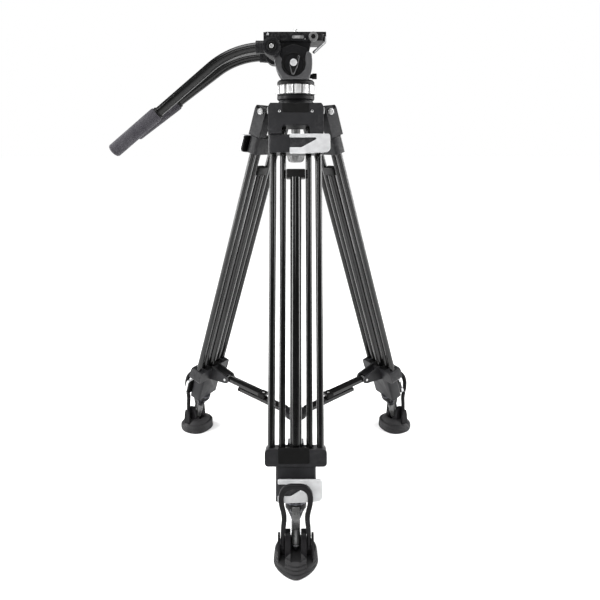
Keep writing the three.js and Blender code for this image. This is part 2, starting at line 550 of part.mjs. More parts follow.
// Turning part of the head: upper ring and the two cheeks that hold the tilt axle
function headBase() {
  const bottom = DRAG_RING.top + GAP;
  const ring = turned([[0, bottom], [UPPER_RING.radius, bottom], [UPPER_RING.radius, UPPER_RING.top - 4],
    [UPPER_RING.radius - 4, UPPER_RING.top], [0, UPPER_RING.top]], FINE);
  const { x, z } = TILT_AXIS;
  const cheek = outline([
    [-30.5, UPPER_RING.top - 1], [28, UPPER_RING.top - 1], [36.5, 965], [36.5, 997],
    [22, z + CHEEK.radius * 0.78], [x, z + CHEEK.radius], [-30, z + CHEEK.radius * 0.8], [-48, 991], [-45, z],
    [-39, 965.6], [-32.5, 953]]);
  const cheeks = onBothSides((side) => frontPlate(cheek, side < 0 ? -CHEEK.outer : CHEEK.inner,
    side < 0 ? -CHEEK.inner : CHEEK.outer));
  const axle = rod(TILT_AXLE_RADIUS + GAP, -60, 60, 'y').translate(x, 0, z);
  const knobSeat = rod(6 + GAP, 30, 60, 'x', 12).translate(0, 0, 958);
  return cut(join(ring, ...cheeks), axle, knobSeat);
}

function tiltAxle() {
  const half = CHEEK.outer + 1.5;
  const { x, z } = TILT_AXIS;
  return rod(TILT_AXLE_RADIUS, -half, half, 'y').translate(x, 0, z);
}

// Tilting part: core between the cheeks, plate clamp with its channel, two rosettes
function tiltHead() {
  const { x, z } = TILT_AXIS;
  const core = rod(TILT_CORE.radius, -TILT_CORE.half, TILT_CORE.half, 'y', FINE).translate(x, 0, z);
  const neck = frontPlate(outline([[-31.5, z], [21.5, z], [34, HEAD_BOTTOM + 1], [-58, HEAD_BOTTOM + 1],
    [-62, 1002], [-46, 992]]), -TILT_CORE.half, TILT_CORE.half);
  const clampShape = roundedRect(PLATE_CLAMP.back, PLATE_CLAMP.front, -PLATE_CLAMP.half, PLATE_CLAMP.half, 6);
  const clamp = flatPlate(clampShape, HEAD_BOTTOM, HEAD_TOP);
  const foot = PLATE.foot + GAP;
  const neckWidth = PLATE.halfWidth + GAP;
  const floor = PLATE.bottom - GAP;
  const lip = PLATE.bottom + 3 + GAP;
  const channel = sidePlate(outline([[-foot, floor], [foot, floor], [foot, lip], [neckWidth, lip + 3],
    [neckWidth, HEAD_TOP + 1], [-neckWidth, HEAD_TOP + 1], [-neckWidth, lip + 3], [-foot, lip]]),
  PLATE_CLAMP.back - 1, PLATE_CLAMP.front + 1);
  const shoulder = outline([[-70, 1012], [-70, HEAD_TOP], [-36, HEAD_TOP], [-36, 1021], [-50, 1021]]);
  const arms = onBothSides((side) => {
    const [from, to] = side < 0 ? [-ROSETTE.outer, -ROSETTE.inner] : [ROSETTE.inner, ROSETTE.outer];
    const disc = rod(ROSETTE.radius, from, to, 'y', FINE).translate(ROSETTE.x, 0, ROSETTE.z);
    const root = PLATE_CLAMP.half - 3;
    return join(disc, frontPlate(shoulder, side < 0 ? from : root, side < 0 ? -root : to));
  });
  const axle = rod(TILT_AXLE_RADIUS + GAP, -60, 60, 'y').translate(x, 0, z);
  const knobSeat = rod(4 + GAP, -PLATE_CLAMP.half - 1, -PLATE_CLAMP.half + 8, 'y', 12).translate(38, 0, 1036);
  return cut(join(core, neck, clamp, ...arms), channel, axle, knobSeat);
}

function cameraPlate() {
  const slab = sidePlate(outline([[-PLATE.foot, PLATE.bottom], [PLATE.foot, PLATE.bottom],
    [PLATE.foot, PLATE.bottom + 3], [PLATE.halfWidth, PLATE.bottom + 6], [PLATE.halfWidth, PLATE.top],
    [-PLATE.halfWidth, PLATE.top], [-PLATE.halfWidth, PLATE.bottom + 6], [-PLATE.foot, PLATE.bottom + 3]]),
  -PLATE.half, PLATE.half);
  const slotShape = roundedRect(-34, 34, -CAMERA_SCREW.radius - GAP, CAMERA_SCREW.radius + GAP, 5);
  const slot = flatPlate(slotShape, PLATE.bottom - 1, PLATE.top + 1);
  const recessShape = roundedRect(-42, 42, -CAMERA_SCREW.head - GAP, CAMERA_SCREW.head + GAP, 10);
  const recess = flatPlate(recessShape, PLATE.bottom - 1, PLATE.bottom + 6);
  return cut(slab, slot, recess);
}

function cameraScrew() {
  const bottom = PLATE.bottom + 1;
  return turned([[0, bottom], [CAMERA_SCREW.head, bottom], [CAMERA_SCREW.head, bottom + 4.5],
    [CAMERA_SCREW.radius, bottom + 4.5], [CAMERA_SCREW.radius, CAMERA_SCREW.top - 1],
    [CAMERA_SCREW.radius - 1, CAMERA_SCREW.top], [0, CAMERA_SCREW.top]]);
}

function plateLockKnob() {
  const face = -PLATE_CLAMP.half - GAP;
  const knob = rod(10.4, face - 9, face, 'y');
  const stem = rod(4, face - 1, face + 8, 'y', 12);
  return join(knob, stem).translate(38, 0, 1036);
}

function plateReleaseLever() {
  const x = PLATE_CLAMP.front + GAP;
  const top = PLATE.bottom - 1;
  const shape = outline([[x, top], [x + 5.6, top], [x + 5.6, HEAD_BOTTOM - 2], [41, 1003],
    [36.5, 1006], [x, HEAD_BOTTOM - 2]]);
  return frontPlate(shape, -PLATE_CLAMP.half + 2, -PLATE_CLAMP.half + 16);
}

function tiltLockLever() {
  const y = -CHEEK.outer - 1.5 - GAP;
  const { x, z } = TILT_AXIS;
  const cap = rod(7.5, y - 13, y, 'y').translate(x, 0, z);
  const wing = frontPlate(outline([[x - 6, z + 6], [x - 9, z - 3], [x - 4, z - 24], [x + 1, z - 25], [x + 9, z - 8],
    [x + 14, z + 14], [x + 10, z + 16], [x + 5, z + 3]]), y - 9, y - 2);
  return join(cap, wing);
}

function panLockKnob() {
  const face = 37;
  const knob = rod(6.5, face, face + 11, 'x', 16);
  const stem = rod(5, face - 5, face + 1, 'x', 12);
  return join(knob, stem).translate(0, 0, 958);
}

// A pan bar leaves its rosette, bends down and runs straight to its grip. It is drawn in
// X and Z about the rosette, then moved to its side of the head.
function barPath(straight) {
  const turn = BAR.turn * DEG;
  const path = new THREE.CurvePath();
  const at = (x, z) => new THREE.Vector3(x, 0, z);
  const bendEnd = at(-BAR.lead - BAR.bend * Math.sin(turn), -BAR.bend * (1 - Math.cos(turn)));
  const handle = (4 / 3) * Math.tan(turn / 4) * BAR.bend;
  const straightEnd = bendEnd.clone().add(at(-Math.cos(turn), -Math.sin(turn)).multiplyScalar(straight));
  path.add(new THREE.LineCurve3(at(0, 0), at(-BAR.lead, 0)));
  path.add(new THREE.CubicBezierCurve3(at(-BAR.lead, 0), at(-BAR.lead - handle, 0),
    bendEnd.clone().add(at(Math.cos(turn), Math.sin(turn)).multiplyScalar(handle)), bendEnd));
  path.add(new THREE.LineCurve3(bendEnd, straightEnd));
  return { path, end: straightEnd, turn };
}

const socketCentre = ROSETTE.outer + GAP + SOCKET_WIDTH / 2;

function toBarPlace(geometry, side) {
  if (side > 0) geometry.rotateY(FAR_BAR_RAISE * DEG);
  return geometry.translate(ROSETTE.x, side * socketCentre, ROSETTE.z);
}

function panBar(side) {
  const { path } = barPath(side < 0 ? BAR_STRAIGHT.near : BAR_STRAIGHT.far);
  const section = new THREE.Shape().absarc(0, 0, BAR.radius, 0, 2 * Math.PI);
  const bar = new THREE.ExtrudeGeometry(section, { steps: 14, curveSegments: ROUND / 2, extrudePath: path });
  const socket = rod(ROSETTE.radius, -SOCKET_WIDTH / 2, SOCKET_WIDTH / 2, 'y', FINE);
  const sleeve = rod(BAR.radius + 3, -34, 0, 'x');
  return toBarPlace(join(bar, socket, sleeve), side);
}

function grip(side) {
  const { end, turn } = barPath(side < 0 ? BAR_STRAIGHT.near : BAR_STRAIGHT.far);
  const bore = BAR.radius + GAP;
  const front = GRIP.length - GRIP.cap;
  const sleeve = turned([[0, -GRIP.cap], [GRIP.radius * 0.7, -GRIP.cap], [GRIP.radius, 0],
    [GRIP.radius, front - 3], [GRIP.radius - 2, front], [bore, front], [bore, -GAP], [0, -GAP]]);
  const geometry = sleeve.rotateY(Math.PI / 2 - turn).translate(end.x, 0, end.z);
  return toBarPlace(geometry, side);
}

place('crown', crown(), 'casting');
place('bowl_clamp_knob', bowlClampKnob(), 'plastic');
place('pan_base', panBase(), 'casting');
place('drag_ring', dragRing(), 'silver');
place('head_base', headBase(), 'casting');
place('tilt_axle', tiltAxle(), 'steel');
place('tilt_head', tiltHead(), 'casting');
place('camera_plate', cameraPlate(), 'anodised');
place('camera_screw', cameraScrew(), 'steel');
place('plate_lock_knob', plateLockKnob(), 'silver');
place('plate_release_lever', plateReleaseLever(), 'silver');
place('tilt_lock_lever', tiltLockLever(), 'plastic');
place('pan_lock_knob', panLockKnob(), 'plastic');
place('pan_bar_near', panBar(-1), 'anodised');
place('pan_bar_far', panBar(1), 'anodised');
place('grip_near', grip(-1), 'foam');
place('grip_far', grip(1), 'foam');
for (let number = 1; number <= LEG_COUNT; number++) leg(number);
place('spreader_hub', spreaderHub(), 'casting', model);

// The origin is the middle of the base of the whole object
const reach = new THREE.Box3().setFromObject(model, true);
const middle = reach.getCenter(new THREE.Vector3());
model.position.set(-middle.x, -middle.y, -reach.min.z);

export default model;
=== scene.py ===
"""Tripod with fluid head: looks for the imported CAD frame.

The tripod's own axis runs through the middle of pan_base. Shapes are drawn in millimetres, in one
of three local frames: HEAD, upright on that axis, and for each leg a leaning frame at its hinge
and an upright one on the axis, both with X across the leg and -Y outward.
"""
import json
import math

import bmesh
import bpy
from mathutils import Matrix, Vector

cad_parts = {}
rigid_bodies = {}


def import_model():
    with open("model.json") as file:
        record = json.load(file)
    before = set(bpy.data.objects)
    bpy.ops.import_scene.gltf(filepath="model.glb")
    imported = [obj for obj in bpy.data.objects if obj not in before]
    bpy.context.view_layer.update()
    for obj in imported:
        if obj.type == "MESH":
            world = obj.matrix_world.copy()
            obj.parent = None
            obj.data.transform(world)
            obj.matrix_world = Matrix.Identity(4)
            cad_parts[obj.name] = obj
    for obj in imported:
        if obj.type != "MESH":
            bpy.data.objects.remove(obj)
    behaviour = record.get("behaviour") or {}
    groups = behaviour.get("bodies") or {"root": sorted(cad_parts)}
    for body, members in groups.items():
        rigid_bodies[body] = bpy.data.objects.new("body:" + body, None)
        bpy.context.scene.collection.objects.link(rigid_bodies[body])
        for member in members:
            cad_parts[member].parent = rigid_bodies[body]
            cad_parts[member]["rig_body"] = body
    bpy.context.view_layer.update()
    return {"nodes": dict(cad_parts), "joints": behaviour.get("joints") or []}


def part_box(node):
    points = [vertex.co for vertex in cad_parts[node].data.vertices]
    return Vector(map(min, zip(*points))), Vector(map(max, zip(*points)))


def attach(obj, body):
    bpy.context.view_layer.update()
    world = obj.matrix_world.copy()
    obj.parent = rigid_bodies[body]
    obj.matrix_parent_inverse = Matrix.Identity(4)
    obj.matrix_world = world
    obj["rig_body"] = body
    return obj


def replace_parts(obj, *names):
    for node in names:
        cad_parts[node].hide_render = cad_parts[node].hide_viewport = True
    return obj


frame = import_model()
NODES = frame["nodes"]
MM = 0.001
TO_MM = 1000.0
scene = bpy.context.scene


def middle(node):
    low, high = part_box(node)
    return (low + high) / 2


AXIS = middle("pan_base")
AXIS.z = 0.0
JOINTS = {j["name"]: j for j in frame["joints"]}


# ---- materials ----------------------------------------------------------------------

class Nodes:
    """A small helper that adds and links shader nodes."""

    def __init__(self, name):
        self.material = bpy.data.materials.new(name)
        self.material.use_nodes = True
        self.tree = self.material.node_tree
        self.shader = self.tree.nodes["Principled BSDF"]
        self.where = self.add("ShaderNodeTexCoord").outputs["Object"]

    def add(self, kind, inputs=(), **settings):
        node = self.tree.nodes.new(kind)
        for key, value in settings.items():
            setattr(node, key, value)
        for key, value in dict(inputs).items():
            if isinstance(value, bpy.types.NodeSocket):
                self.tree.links.new(value, node.inputs[key])
            else:
                node.inputs[key].default_value = value
        return node

    def link(self, source, target):
        self.tree.links.new(source, self.shader.inputs[target])

    def noise(self, scale, detail=3.0, rough=0.55, stretch=None):
        where = self.where
        if stretch:
            where = self.add("ShaderNodeMapping", {"Vector": where, "Scale": stretch}).outputs[0]
        node = self.add("ShaderNodeTexNoise", {"Vector": where, "Scale": scale, "Detail": detail,
                                               "Roughness": rough})
        return node.outputs["Fac"]

    def ramp(self, value, low, high, a, b):
        node = self.add("ShaderNodeMapRange", {"Value": value, "From Min": low, "From Max": high,
                                               "To Min": a, "To Max": b})
        return node.outputs["Result"]

    def blend(self, fac, a, b):
        node = self.add("ShaderNodeMix", data_type="RGBA")
        for socket, value in ((0, fac), (6, a), (7, b)):
            if isinstance(value, bpy.types.NodeSocket):
                self.tree.links.new(value, node.inputs[socket])
            else:
                node.inputs[socket].default_value = value
        return node.outputs[2]

    def bump(self, height, strength, distance, under=None):
        inputs = {"Height": height, "Strength": strength, "Distance": distance}
        if under is not None:
            inputs["Normal"] = under
        return self.add("ShaderNodeBump", inputs).outputs["Normal"]

    def soft_edges(self, radius):
        return self.add("ShaderNodeBevel", {"Radius": radius}, samples=4).outputs["Normal"]


def grey(value, tint=(0.0, 0.0, 0.0)):
    return (value + tint[0], value + tint[1], value + tint[2], 1.0)


def finish_material(name, dark, light, rough, metallic=0.0, grain=900.0, grain_depth=0.00005,
                    stretch=None, edge=0.0, coat=0.0, specular=0.5, wear=None, patch=28.0, sheen=0.0):
    """A two-tone finish with grain, patchy roughness and, where edge is given, rounded edges."""
    n = Nodes(name)
    s = n.shader.inputs
    s["Metallic"].default_value = metallic
    s["Specular IOR Level"].default_value = specular
    s["Coat Weight"].default_value = coat
    s["Coat Roughness"].default_value = 0.18
    s["Sheen Weight"].default_value = sheen
    large = n.noise(patch, 4.0)
    fine = n.noise(grain, 3.0, 0.6, stretch)
    colour = n.blend(n.ramp(large, 0.35, 0.65, 0.0, 1.0), dark, light)
    if wear is not None:
        worn = n.ramp(n.add("ShaderNodeNewGeometry").outputs["Pointiness"], 0.53, 0.6, 0.0, 0.75)
        patchy = n.ramp(n.noise(140.0, 5.0, 0.7), 0.45, 0.62, 0.0, 1.0)
        both = n.add("ShaderNodeMath", {0: worn, 1: patchy}, operation="MULTIPLY").outputs[0]
        colour = n.blend(both, colour, wear)
    n.link(colour, "Base Color")
    low, high = rough
    n.link(n.ramp(n.noise(patch * 3.1, 4.0, 0.6), 0.3, 0.7, low, high), "Roughness")
    under = n.soft_edges(edge) if edge else None
    n.link(n.bump(fine, 0.5, grain_depth, under), "Normal")
    return n.material


ANODISED = finish_material("black_anodised", grey(0.0015), grey(0.003), (0.14, 0.22), 0.0,
                           grain=420.0, grain_depth=0.000012, specular=0.42)
BAR = finish_material("gloss_black_bar", grey(0.002), grey(0.004), (0.16, 0.26), 0.0, grain=500.0,
                      grain_depth=0.00001, specular=0.34)
CASTING = finish_material("casting_paint", grey(0.0045, (0, 0, 0.0006)), grey(0.0075, (0, 0, 0.0009)),
                          (0.36, 0.52), 0.0, grain=1400.0, grain_depth=0.00008, edge=0.0011,
                          wear=grey(0.04), specular=0.12)
YOKE_PAINT = finish_material("yoke_paint", grey(0.011, (0, 0, 0.0011)), grey(0.016, (0, 0, 0.0015)),
                             (0.34, 0.48), 0.0, grain=1400.0, grain_depth=0.00008, edge=0.0011,
                             wear=grey(0.05), specular=0.16)
CHEEK_GREY = finish_material("cheek_grey", grey(0.075, (0, 0, 0.003)), grey(0.095, (0, 0, 0.003)),
                             (0.28, 0.4), 0.45, grain=1200.0, grain_depth=0.00006, edge=0.0014,
                             specular=0.4)
SILVER = finish_material("lever_silver", grey(0.44, (0, 0.003, 0.01)), grey(0.54, (0, 0.003, 0.01)),
                         (0.3, 0.44), 0.35, grain=700.0, grain_depth=0.00002, edge=0.0009, patch=60.0)
RING_SILVER = finish_material("ring_silver", grey(0.56), grey(0.62), (0.3, 0.36), 0.5, grain=900.0,
                              grain_depth=0.000006, patch=20.0, edge=0.0006)
# painted shade: a darker silver for the faces inside the fluted ring's grooves, where shade falls
RING_SHADE = finish_material("ring_groove_painted_shade", grey(0.16), grey(0.22), (0.34, 0.5), 0.3, patch=60.0,
                             specular=0.4)
STEEL = finish_material("turned_steel", grey(0.4), grey(0.5), (0.24, 0.38), 0.85, grain=260.0,
                        grain_depth=0.00002, stretch=(1, 1, 14), patch=90.0)
PIN_GREY = finish_material("pin_grey", grey(0.2), grey(0.26), (0.3, 0.42), 0.4, grain=800.0,
                           grain_depth=0.00003, patch=90.0, edge=0.0006)
SPIKE_GREY = finish_material("spike_grey", grey(0.09), grey(0.13), (0.24, 0.36), 0.6, grain=500.0,
                             grain_depth=0.00003, stretch=(1, 1, 6), patch=50.0)
KNOB = finish_material("knob_plastic", grey(0.0035), grey(0.006), (0.34, 0.48), grain=1600.0,
                       grain_depth=0.00005, edge=0.0006, specular=0.1)
KNOB_GREY = finish_material("knob_grey", grey(0.1), grey(0.13), (0.36, 0.48), 0.2, grain=1500.0,
                            grain_depth=0.00004, edge=0.0006)
RUBBER = finish_material("shoe_rubber", grey(0.011, (0.0004, 0.0, 0.0008)),
                         grey(0.017, (0.0004, 0.0, 0.0008)), (0.5, 0.7), grain=2200.0, grain_depth=0.00012,
                         edge=0.0009, specular=0.22, wear=grey(0.06), patch=40.0)
RUBBER_DARK = finish_material("strap_rubber", grey(0.004, (0.0004, 0.0, 0.0008)),
                              grey(0.007, (0.0004, 0.0, 0.0008)), (0.4, 0.58), grain=2200.0,
                              grain_depth=0.0001, edge=0.0009, specular=0.1)
FOAM = finish_material("grip_foam", grey(0.032, (0.002, 0.0, 0.006)), grey(0.045, (0.002, 0.0, 0.006)),
                       (0.85, 0.95), grain=2600.0, grain_depth=0.0003, specular=0.15, patch=70.0, sheen=0.1)
LEVEL = finish_material("level_window", grey(0.1), grey(0.3), (0.12, 0.2), 0.0, patch=90.0, specular=0.6,
                        coat=0.3)
PLATE_PAD = finish_material("plate_pad", grey(0.005), grey(0.008), (0.7, 0.85), grain=1800.0,
                            grain_depth=0.0001, specular=0.25)


# ---- mesh helpers -------------------------------------------------------------------

def new_object(name, mesh, material, body, smooth=32.0):
    for polygon in mesh.polygons:
        polygon.use_smooth = True
    mesh.set_sharp_from_angle(angle=math.radians(smooth))
    obj = bpy.data.objects.new(name, mesh)
    scene.collection.objects.link(obj)
    mesh.materials.append(material)
    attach(obj, body)
    return obj


def mesh_from(bm, name, matrix=None):
    bmesh.ops.recalc_face_normals(bm, faces=bm.faces)
    if matrix is not None:
        bm.transform(matrix)
    mesh = bpy.data.meshes.new(name)
    bm.to_mesh(mesh)
    bm.free()
    return mesh


def bevel(obj, width, segments=3, angle=30.0):
    m = obj.modifiers.new("edges", "BEVEL")
    m.width = width
    m.segments = segments
    m.limit_method = "ANGLE"
    m.angle_limit = math.radians(angle)
    m.harden_normals = False
    return obj


def lathe_mesh(name, profile, matrix, sides=48, wave=None):
    """A profile of (radius, height) points, closed on itself if its ends aren't on the axis."""
    bm = bmesh.new()
    rings = []
    for r, z in profile:
        if r < 1e-7:
            rings.append([bm.verts.new((0, 0, z))])
            continue
        ring = []
        for i in range(sides):
            a = 2 * math.pi * i / sides
            k = r * (wave(a, r, z) if wave else 1.0)
            ring.append(bm.verts.new((k * math.cos(a), k * math.sin(a), z)))
        rings.append(ring)
    closed = len(rings[0]) > 1 and len(rings[-1]) > 1
    pairs = list(zip(rings, rings[1:])) + ([(rings[-1], rings[0])] if closed else [])
    for a, b in pairs:
        for i in range(sides):
            j = (i + 1) % sides
            if len(a) == 1 and len(b) == 1:
                continue
            if len(a) == 1:
                bm.faces.new((a[0], b[i], b[j]))
            elif len(b) == 1:
                bm.faces.new((a[i], a[j], b[0]))
            else:
                bm.faces.new((a[i], a[j], b[j], b[i]))
    return mesh_from(bm, name, matrix)


def arc(cx, cz, radius, start, end, steps=5):
    """Points of a rounded corner, angles in degrees."""
    return [(cx + radius * math.cos(math.radians(start + (end - start) * i / steps)),
             cz + radius * math.sin(math.radians(start + (end - start) * i / steps)))
            for i in range(steps + 1)]


def prism_mesh(name, outline, depth, matrix, holes=()):
    """An outline in X and Z, centred on y = 0, with through holes given as outlines."""
    bm = bmesh.new()

    def loop(points, y):
        return [bm.verts.new((x, y, z)) for x, z in points]

    loops = [outline, *holes]
    for y in (-depth / 2, depth / 2):
        edges = []
        for points in loops:
            ring = loop(points, y)
            edges += [bm.edges.new((ring[i], ring[(i + 1) % len(ring)])) for i in range(len(ring))]
        bmesh.ops.triangle_fill(bm, edges=edges, use_beauty=True, use_dissolve=True)
    bm.verts.ensure_lookup_table()
    total = sum(len(points) for points in loops)
    start = 0
    for points in loops:
        count = len(points)
        for i in range(count):
            j = (i + 1) % count
            bm.faces.new((bm.verts[start + i], bm.verts[start + j], bm.verts[total + start + j],
                          bm.verts[total + start + i]))
        start += count
    return mesh_from(bm, name, matrix)


def sweep_mesh(name, path, section, matrix=None, closed=False, up=Vector((0, 1, 0)), cap=True):
    """A section of (side, up) points carried along a path of points."""
    bm = bmesh.new()
    rings = []
    count = len(path)
    for i, p in enumerate(path):
        before = path[(i - 1) % count] if closed or i > 0 else p
        after = path[(i + 1) % count] if closed or i < count - 1 else p
        forward = (after - before).normalized()
        side = forward.cross(up).normalized()
        rings.append([bm.verts.new(p + side * u + up * v) for u, v in section])
    steps = count if closed else count - 1
    for i in range(steps):
        a, b = rings[i], rings[(i + 1) % count]
        for j in range(len(section)):
            k = (j + 1) % len(section)
            bm.faces.new((a[j], a[k], b[k], b[j]))
    if cap and not closed:
        bm.faces.new(rings[0])
        bm.faces.new(rings[-1])
    return mesh_from(bm, name, matrix)


def circle(radius, sides=32):
    return [(radius * math.cos(2 * math.pi * i / sides), radius * math.sin(2 * math.pi * i / sides))
            for i in range(sides)]


def box_outline(x0, x1, z0, z1, corner, steps=4):
    c = min(corner, (x1 - x0) / 2 - 1e-6, (z1 - z0) / 2 - 1e-6)
    return (arc(x1 - c, z1 - c, c, 0, 90, steps) + arc(x0 + c, z1 - c, c, 90, 180, steps)
            + arc(x0 + c, z0 + c, c, 180, 270, steps) + arc(x1 - c, z0 + c, c, 270, 360, steps))


def carve(mesh, cutters):
    """The mesh with the cutters' volumes taken away."""
    made = [bpy.data.objects.new("carving", m) for m in [mesh, *cutters]]
    for o in made:
        scene.collection.objects.link(o)
    for cutter in made[1:]:
        m = made[0].modifiers.new("cut", "BOOLEAN")
        m.operation = "DIFFERENCE"
        m.solver = "EXACT"
        m.object = cutter
    bpy.context.view_layer.update()
    graph = bpy.context.evaluated_depsgraph_get()
    result = bpy.data.meshes.new_from_object(made[0].evaluated_get(graph))
    for o in made:
        bpy.data.objects.remove(o)
    return result


def block_mesh(low, high, matrix):
    outline = [(low[0], low[2]), (high[0], low[2]), (high[0], high[2]), (low[0], high[2])]
    return prism_mesh("block", outline, high[1] - low[1],
                      matrix @ Matrix.Translation((0, (low[1] + high[1]) / 2, 0)))


def from_cad(node, material, body=None, width=0.0008, angle=34.0):
    """A clean, bevelled copy of a CAD solid that stands for it."""
    source = NODES[node]
    bm = bmesh.new()
    bm.from_mesh(source.data)
    bmesh.ops.remove_doubles(bm, verts=bm.verts, dist=2e-6)
    bmesh.ops.dissolve_limit(bm, angle_limit=math.radians(1.2), verts=bm.verts, edges=bm.edges)
    mesh = mesh_from(bm, node + "_body")
    obj = new_object(node + "_body", mesh, material, body or source["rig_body"])
    if width:
        bevel(obj, width, 2, angle)
    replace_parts(obj, node)
    return obj


HEAD = Matrix.Translation(AXIS) @ Matrix.Scale(MM, 4)


def leg_matrices(number):
    """Local frames of a leg in millimetres: leaning with the leg, and upright about the axis."""
    fold = JOINTS[f"leg_{number}_fold"]
    across = Vector(fold["axis"]).normalized()
    along = -Vector(JOINTS[f"leg_{number}_middle_stage"]["axis"]).normalized()
    frames = []
    for up, origin in ((along, Vector(fold["pos_m"])), (Vector((0, 0, 1)), AXIS)):
        m = Matrix((across, up.cross(across), up)).transposed().to_4x4()
        m.translation = origin
        frames.append(m @ Matrix.Scale(MM, 4))
    return frames


def local_box(node, matrix):
    """Lowest and highest corners of a CAD solid in a local frame."""
    inverse = matrix.inverted()
    points = [inverse @ v.co for v in NODES[node].data.vertices]
    low = Vector([min(p[i] for p in points) for i in range(3)])
    high = Vector([max(p[i] for p in points) for i in range(3)])
    return low, high


def shift(x=0.0, y=0.0, z=0.0):
    return Matrix.Translation((x, y, z))


def turn_to(axis):
    return {"z": Matrix.Identity(4), "x": Matrix.Rotation(math.pi / 2, 4, "Y"),
            "y": Matrix.Rotation(-math.pi / 2, 4, "X")}[axis]


def add_lathe(name, profile, matrix, material, body, sides=48, wave=None, smooth=32.0):
    return new_object(name, lathe_mesh(name, profile, matrix, sides, wave), material, body, smooth)


def add_prism(name, outline, depth, matrix, material, body, holes=(), edge=0.0, segments=2):
    obj = new_object(name, prism_mesh(name, outline, depth, matrix, holes), material, body)
    if edge:
        bevel(obj, edge * MM, segments)
    return obj


def rod_profile(radius, start, end, chamfer=0.6):
    return [(0, start), (radius - chamfer, start), (radius, start + chamfer), (radius, end - chamfer),
            (radius - chamfer, end), (0, end)]


def tube_profile(radius, wall, start, end, chamfer=0.4):
    inner = radius - wall
    return [(inner, start), (radius - chamfer, start), (radius, start + chamfer), (radius, end - chamfer),
            (radius - chamfer, end), (inner, end)]


def screw_head(name, matrix, radius, height, material, body, socket=0.5, sides=32):
    """A cap screw with a hexagonal socket, its axis along local Z."""
    inner = radius * socket
    profile = [(0, -0.5), (radius, -0.5), (radius, height - 0.5), (radius - 0.5, height), (inner, height),
               (inner * 0.96, height - min(1.6, height)), (0, height - min(1.6, height))]

    def hexagon(a, r, z):
        if r > inner * 1.01:
            return 1.0
        return math.cos(math.pi / 6) / math.cos((a % (math.pi / 3)) - math.pi / 6) * 1.08
    return add_lathe(name, profile, matrix, material, body, sides=sides, wave=hexagon)


def smooth_line(points, steps=6, closed=True):
    """Catmull-Rom points through a coarse outline."""
    out = []
    n = len(points)
    for i in range(n if closed else n - 1):
        p = [Vector(points[(i + k) % n] if closed else points[max(0, min(n - 1, i + k))])
             for k in (-1, 0, 1, 2)]
        for s in range(steps):
            t = s / steps
            q = 0.5 * ((2 * p[1]) + (p[2] - p[0]) * t + (2 * p[0] - 5 * p[1] + 4 * p[2] - p[3]) * t * t
                       + (3 * p[1] - p[0] - 3 * p[2] + p[3]) * t ** 3)
            out.append((q.x, q.y))
    if not closed:
        out.append(tuple(points[-1]))
    return out


def rounded(points, radius, steps=3):
    """An outline with its corners cut to small arcs."""
    out = []
    n = len(points)
    for i in range(n):
        a, b, c = Vector(points[i - 1]), Vector(points[i]), Vector(points[(i + 1) % n])
        to_a, to_c = a - b, c - b
        r = min(radius, to_a.length * 0.45, to_c.length * 0.45)
        p, q = b + to_a.normalized() * r, b + to_c.normalized() * r
        for s in range(steps + 1):
            t = s / steps
            v = p * (1 - t) ** 2 + b * 2 * t * (1 - t) + q * t ** 2
            out.append((v.x, v.y))
    return out


# ---- legs ---------------------------------------------------------------------------

INNER_TUBE = 6.5  # radius; its wall and the distance between its middle and the leg's follow
INNER_WALL = 1.4
INNER_SPACING = 27.6
OUTER_TUBE = 7.4
OUTER_WALL = 1.5
STEM = 12.0
STEM_WALL = 1.6
GUIDE_HEIGHT = 12.0  # block at the foot of the inner tubes
STEM_GUIDE_HEIGHT = 19.7
COLLAR_HEIGHT = 32.5
COLLAR_FRONT = -18.6
LEVER_SLOT = 54.0  # from the lever's pin to the end of its slot
TOP_PRONG = 8.0
LOW_PRONG = 12.0
SPREADER_SLOPE = math.radians(9.5)
BAR_HALF, BAR_DEPTH, BAR_LIP = 11.0, 9.0, 1.6  # section of the spreader's rails and arms
RAIL_PIN = 3.5


def lever_outline(low, high, pivot):
    """Two prongs that meet in a solid finger end; x grows towards the finger end."""
    left, right, bottom, top = low.x, high.x, low.z, high.z
    tip = pivot + LEVER_SLOT
    return rounded([(left, top), (right - 3, top), (right, top - 3), (right, bottom + 9),
                    (right - 6, bottom + 3), (pivot + 30, bottom), (left, bottom),
                    (left, bottom + LOW_PRONG), (pivot + 22, bottom + LOW_PRONG),
                    (tip, top - TOP_PRONG - 4), (tip, top - TOP_PRONG), (left, top - TOP_PRONG)], 2.2)


def flip_lever(number, which, lean, body):
    node = f"leg_{number}_{which}_lever"
    low, high = local_box(node, lean)
    pivot = low.x + 3
    depth = high.y - low.y
    centre_y = (low.y + high.y) / 2
    face = 0.64 * depth
    lever = add_prism(node + "_arm", lever_outline(low, high, pivot), face,
                      lean @ shift(y=low.y + face / 2), SILVER, body, edge=1.7, segments=3)
    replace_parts(lever, node)
    low_back, high_back = low + Vector((0.5, 0, 0.5)), high - Vector((0.5, 0, 0.5))
    add_prism(node + "_back", lever_outline(low_back, high_back, pivot), depth * 0.5,
              lean @ shift(y=high.y - depth * 0.25), KNOB, body, edge=0.8)
    for side, height, turn in (("top", high.z - 0.6, 0.0), ("low", low.z + 0.6, math.pi)):
        screw_head(f"{node}_pin_{side}", lean @ shift(pivot + 1.5, centre_y, height)
                   @ Matrix.Rotation(turn, 4, "X"), 3.4, 0.5, STEEL, body)


